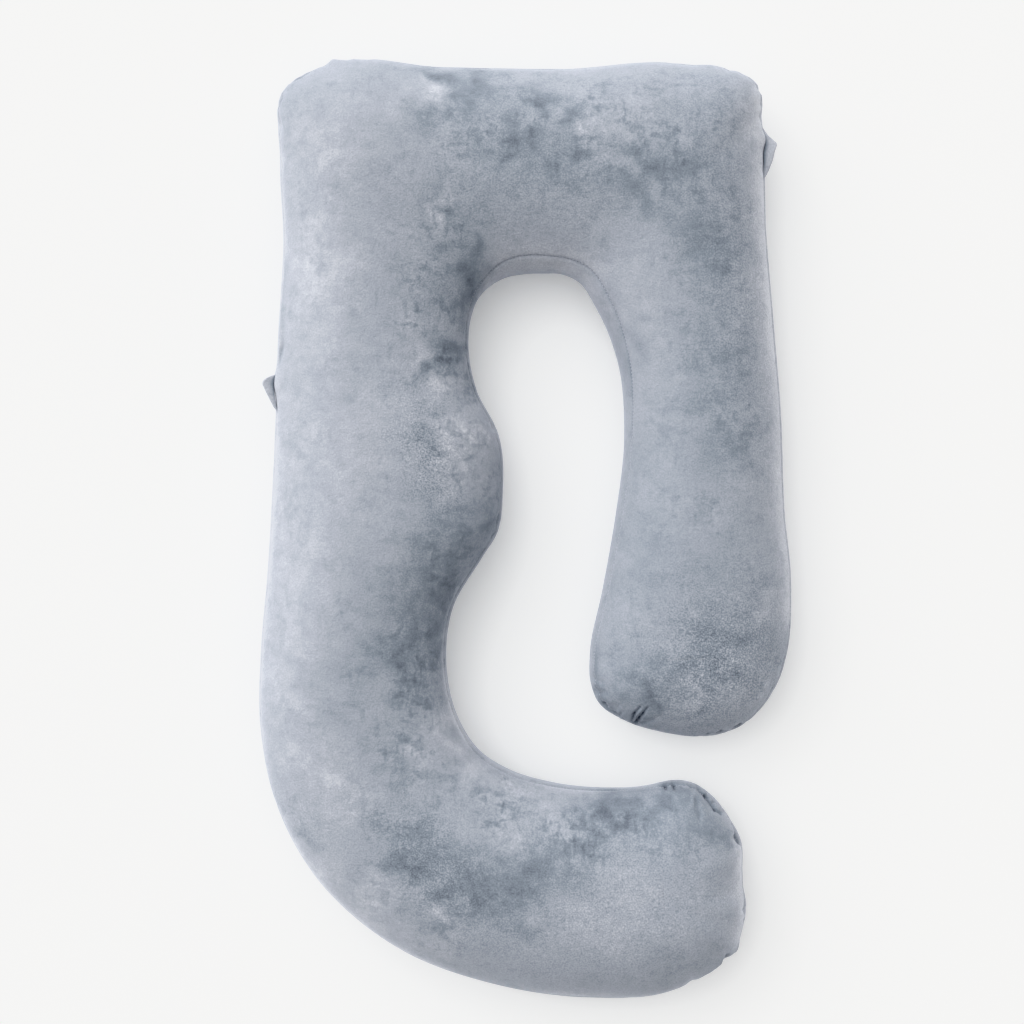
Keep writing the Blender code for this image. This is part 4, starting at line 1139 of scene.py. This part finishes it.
def add_node(tree, kind, inputs=None, **settings):
    """Add a node. Settings are its properties; an input, by name or number, gets a value or a socket."""
    node = tree.nodes.new(kind)
    for name, value in settings.items():
        setattr(node, name, value)
    for key, value in (inputs or {}).items():
        if isinstance(value, bpy.types.NodeSocket):
            tree.links.new(value, node.inputs[key])
        else:
            node.inputs[key].default_value = value
    return node


def new_material(name):
    material = bpy.data.materials.new(name)
    material.use_nodes = True
    return material, material.node_tree, material.node_tree.nodes["Principled BSDF"]


# %% Velour, blue-grey
Clouds = namedtuple("Clouds", "size_mm detail roughness stretch swirl", defaults=((1, 1, 1), 0.0))
BROAD = Clouds(150, 2, 0.5)
BRUSHED = Clouds(34, 3, 0.5, (1.4, 1, 1), 0.4)         # brush marks are longer across the pillow
RAGS = Clouds(22, 2, 0.5, swirl=0.3)                   # at the strokes' edges
WORN = Clouds(60, 1, 0.5)                              # worn places in the pile, between smooth ones
ACROSS_MARKS = Clouds(14, 1, 0.4, (1.7, 0.9, 1), 0.2)
ALONG_MARKS = Clouds(14, 1, 0.4, (0.7, 1.7, 1), 0.3)
MOTTLE = Clouds(5, 1.5, 0.5)
PILE = Clouds(2.2, 0, 0.5)                             # real pile is under 1 mm; coarser, it shows from 3 m
WORN_RANGE = (-0.12, 0.12)         # values of the noise at which the pile is smooth, and worn,
WORN_STRENGTH = (0.55, 1.2)        # and how strong the grain is there
ACROSS_RANGE = (0.02, 0.20)        # values at which a mark begins, and is full
ALONG_RANGE = (0.04, 0.22)
MIDDLE = 0.66                      # place of the plain cloth's tone on the ramp
TONE_STEP = 0.57                   # how far along the ramp a tone of 1 moves it,
RAGS_STEP = 1.3                    # and the noises, each for a change of 1
BROAD_STEP = 0.13
BRUSHED_STEP = 0.06
TIPS_STEP = 0.56
GRAIN_MIDDLE = 0.02                # the grain is added where the pile is ruffled; these are its parts
GRAIN_BRUSHED = 0.30
GRAIN_ACROSS = -0.15
GRAIN_ALONG = -0.14
GRAIN_MOTTLE = 0.32
PILE_IN_BUMP = 0.7                 # height of the pile's noise in the bump, where the mottle's is 1
BUMP_STRENGTH = 0.5
BUMP_HEIGHT = 0.0010
SHEEN_COLOUR = "D5D9E4"
NAP_COLOURS = [(0.00, "585E68"), (0.25, "6C737D"), (0.50, "858D97"), (0.75, "A8ACB5"), (1.00, "D0D2D8")]


def noise_about_0(tree, coordinates, clouds):
    """Soft noise about 0, whose patches are about size_mm across; swirl curls their edges."""
    scale = [1000 / clouds.size_mm / share for share in clouds.stretch]
    scaled = add_node(tree, "ShaderNodeMapping", {"Vector": coordinates, "Scale": scale})
    noise = add_node(tree, "ShaderNodeTexNoise", {"Vector": scaled.outputs["Vector"], "Scale": 1.0,
                                                  "Detail": clouds.detail, "Roughness": clouds.roughness,
                                                  "Distortion": clouds.swirl})
    return add_node(tree, "ShaderNodeMath", {0: noise.outputs["Fac"], 1: 0.5},
                    operation="SUBTRACT").outputs[0]


def weighted_sum(tree, start, *terms):
    """A number, plus each socket times its own weight."""
    total = start
    for socket, weight in terms:
        total = add_node(tree, "ShaderNodeMath", {0: socket, 1: weight, 2: total},
                         operation="MULTIPLY_ADD").outputs[0]
    return total


def smooth_step(tree, socket, start_end, low_high=(0.0, 1.0)):
    """From low to high, as the socket goes from start to end, with soft ends."""
    (start, end), (low, high) = start_end, low_high
    return add_node(tree, "ShaderNodeMapRange", {"Value": socket, "From Min": start, "From Max": end,
                                                 "To Min": low, "To Max": high},
                    interpolation_type="SMOOTHSTEP").outputs["Result"]


def velour():
    """Cut and brushed polyester pile: matt, a soft sheen at its turned edges, a cloudy nap, and light and
    shade painted into its tone.
    """
    material, tree, shader = new_material("velour_blue_grey")
    place = add_node(tree, "ShaderNodeTexCoord").outputs["Object"]
    # The mesh's tone: the nap, with painted light and shade in it.
    lie_and_painted_light = add_node(tree, "ShaderNodeAttribute", attribute_name="nap").outputs["Fac"]
    stroke_size = add_node(tree, "ShaderNodeAttribute", attribute_name="torn").outputs["Fac"]
    ruffled = add_node(tree, "ShaderNodeAttribute", attribute_name="ruffle").outputs["Fac"]
    tips = add_node(tree, "ShaderNodeAttribute", attribute_name="tips").outputs["Fac"]
    broad = noise_about_0(tree, place, BROAD)
    brushed = noise_about_0(tree, place, BRUSHED)
    ragged = noise_about_0(tree, place, RAGS)
    worn = smooth_step(tree, noise_about_0(tree, place, WORN), WORN_RANGE, WORN_STRENGTH)
    across_marks = smooth_step(tree, noise_about_0(tree, place, ACROSS_MARKS), ACROSS_RANGE)
    along_marks = smooth_step(tree, noise_about_0(tree, place, ALONG_MARKS), ALONG_RANGE)
    mottle = noise_about_0(tree, place, MOTTLE)
    pile = noise_about_0(tree, place, PILE)
    torn = add_node(tree, "ShaderNodeMath", {0: stroke_size, 1: ragged}, operation="MULTIPLY").outputs[0]
    shown = add_node(tree, "ShaderNodeMath", {0: tips, 1: pile}, operation="MULTIPLY").outputs[0]
    tone = weighted_sum(tree, MIDDLE, (lie_and_painted_light, TONE_STEP), (torn, RAGS_STEP), (broad, BROAD_STEP),
                        (brushed, BRUSHED_STEP), (shown, TIPS_STEP))
    grain = weighted_sum(tree, GRAIN_MIDDLE, (brushed, GRAIN_BRUSHED), (across_marks, GRAIN_ACROSS),
                         (along_marks, GRAIN_ALONG), (mottle, GRAIN_MOTTLE))
    depth = add_node(tree, "ShaderNodeMath", {0: worn, 1: ruffled}, operation="MULTIPLY").outputs[0]
    level = add_node(tree, "ShaderNodeMath", {0: grain, 1: depth, 2: tone},
                     operation="MULTIPLY_ADD").outputs[0]
    ramp = add_node(tree, "ShaderNodeValToRGB", {"Fac": level})
    stops = ramp.color_ramp.elements
    while len(stops) < len(NAP_COLOURS):
        stops.new(0.5)
    for stop, (position, colour) in zip(stops, NAP_COLOURS):
        stop.position, stop.color = position, linear(colour)
    tree.links.new(ramp.outputs["Color"], shader.inputs["Base Color"])
    height = weighted_sum(tree, 0.0, (mottle, 1.0), (pile, PILE_IN_BUMP))
    bump = add_node(tree, "ShaderNodeBump",
                    {"Strength": BUMP_STRENGTH, "Distance": BUMP_HEIGHT, "Height": height})
    tree.links.new(bump.outputs["Normal"], shader.inputs["Normal"])
    shader.inputs["Roughness"].default_value = 0.92
    shader.inputs["Specular IOR Level"].default_value = 0.15
    shader.inputs["Sheen Weight"].default_value = 0.60
    shader.inputs["Sheen Roughness"].default_value = 0.50
    shader.inputs["Sheen Tint"].default_value = linear(SHEEN_COLOUR)
    return material


velour_blue_grey = velour()
for piece in (pillow, *tabs):
    piece.data.materials.append(velour_blue_grey)
print("velour_blue_grey:", len(velour_blue_grey.node_tree.nodes), "nodes")

# %% Thread
THREAD_COLOUR = "B4B8C2"   # spun polyester, matt but less so than the pile
thread, _, thread_shader = new_material("polyester_thread_pale")
thread_shader.inputs["Base Color"].default_value = linear(THREAD_COLOUR)
thread_shader.inputs["Roughness"].default_value = 0.6
seam_stitches.data.materials.append(thread)
print("polyester_thread_pale:", THREAD_COLOUR)

# %% [markdown]
# ## Floor, light and background
#
# The photo is a bright studio shot. The floor is white and over-exposed, the light is one very large soft
# window, low at the upper left, and there is some more from overhead and from the right. So the sides
# that face the window turn pale and lose their shadow, and long soft shadows fall below and to the right.
# The room itself is the light here: its brightness is worked out from the direction alone, so it is as
# even far off as close by. An area lamp of that size would have to stand half in the floor. Far off, the
# floor sweeps up a little, as studio paper does.

# %% Studio
FLOOR_HALF = 100.0
SWEEP_HALF = 300.0         # where the sweep ends,
SWEEP_RISE = 16.0          # and how high it is there
FLOOR_COLOUR = "F6F6F5"
FLOOR_GLOW = 0.17          # the white floor is lit from below a little, as a light table is
ROOM = 0.12                # brightness of the room's far sides
Glow = namedtuple("Glow", "x y z brightness spread")
GLOWS = [                  # where each light comes from, and its fall-off as cosine to this power
    Glow(-0.64, 0.60, 0.47, 3.7, 3.6),     # the window, low at the upper left
    Glow(0.00, 0.00, 1.00, 1.3, 5.0),      # the ceiling
    Glow(0.85, 0.50, 0.10, 2.3, 14.0),     # a low white wall on the right
]


def room_light(tree):
    """ROOM + the sum of brightness * max(direction . glow, 0) ^ spread."""
    direction = add_node(tree, "ShaderNodeTexCoord").outputs["Generated"]
    light = ROOM
    for glow in GLOWS:
        towards = np.array(glow[:3]) / np.linalg.norm(glow[:3])
        facing = add_node(tree, "ShaderNodeVectorMath", {0: direction, 1: towards}, operation="DOT_PRODUCT")
        ahead = add_node(tree, "ShaderNodeMath", {0: facing.outputs["Value"], 1: 0.0}, operation="MAXIMUM")
        soft = add_node(tree, "ShaderNodeMath", {0: ahead.outputs[0], 1: glow.spread}, operation="POWER")
        light = add_node(tree, "ShaderNodeMath", {0: soft.outputs[0], 1: glow.brightness, 2: light},
                         operation="MULTIPLY_ADD").outputs[0]
    return light


def studio():
    floor_mesh = bpy.data.meshes.new("floor")
    corners = [(x * half, y * half, height) for half, height in ((FLOOR_HALF, 0), (SWEEP_HALF, SWEEP_RISE))
               for x, y in ((-1, -1), (1, -1), (1, 1), (-1, 1))]
    sides = [(4, 5, 1, 0), (5, 6, 2, 1), (6, 7, 3, 2), (7, 4, 0, 3)]
    floor_mesh.from_pydata(corners, [], [(0, 1, 2, 3), *sides])
    floor = bpy.data.objects.new("floor", floor_mesh)
    bpy.context.scene.collection.objects.link(floor)
    paper, _, shader = new_material("white_paper_floor")
    shader.inputs["Base Color"].default_value = linear(FLOOR_COLOUR)
    shader.inputs["Roughness"].default_value = 0.9
    shader.inputs["Specular IOR Level"].default_value = 0.0
    shader.inputs["Emission Color"].default_value = (1, 1, 1, 1)
    shader.inputs["Emission Strength"].default_value = FLOOR_GLOW
    floor_mesh.materials.append(paper)

    world = bpy.data.worlds.new("white_room")
    world.use_nodes = True
    tree = world.node_tree
    tree.links.new(room_light(tree), tree.nodes["Background"].inputs["Strength"])
    tree.nodes["Background"].inputs["Color"].default_value = (1, 1, 1, 1)
    bpy.context.scene.world = world
    bpy.context.scene.view_settings.view_transform = "Khronos PBR Neutral"


studio()
print("studio: a white floor and", len(GLOWS), "soft lights")
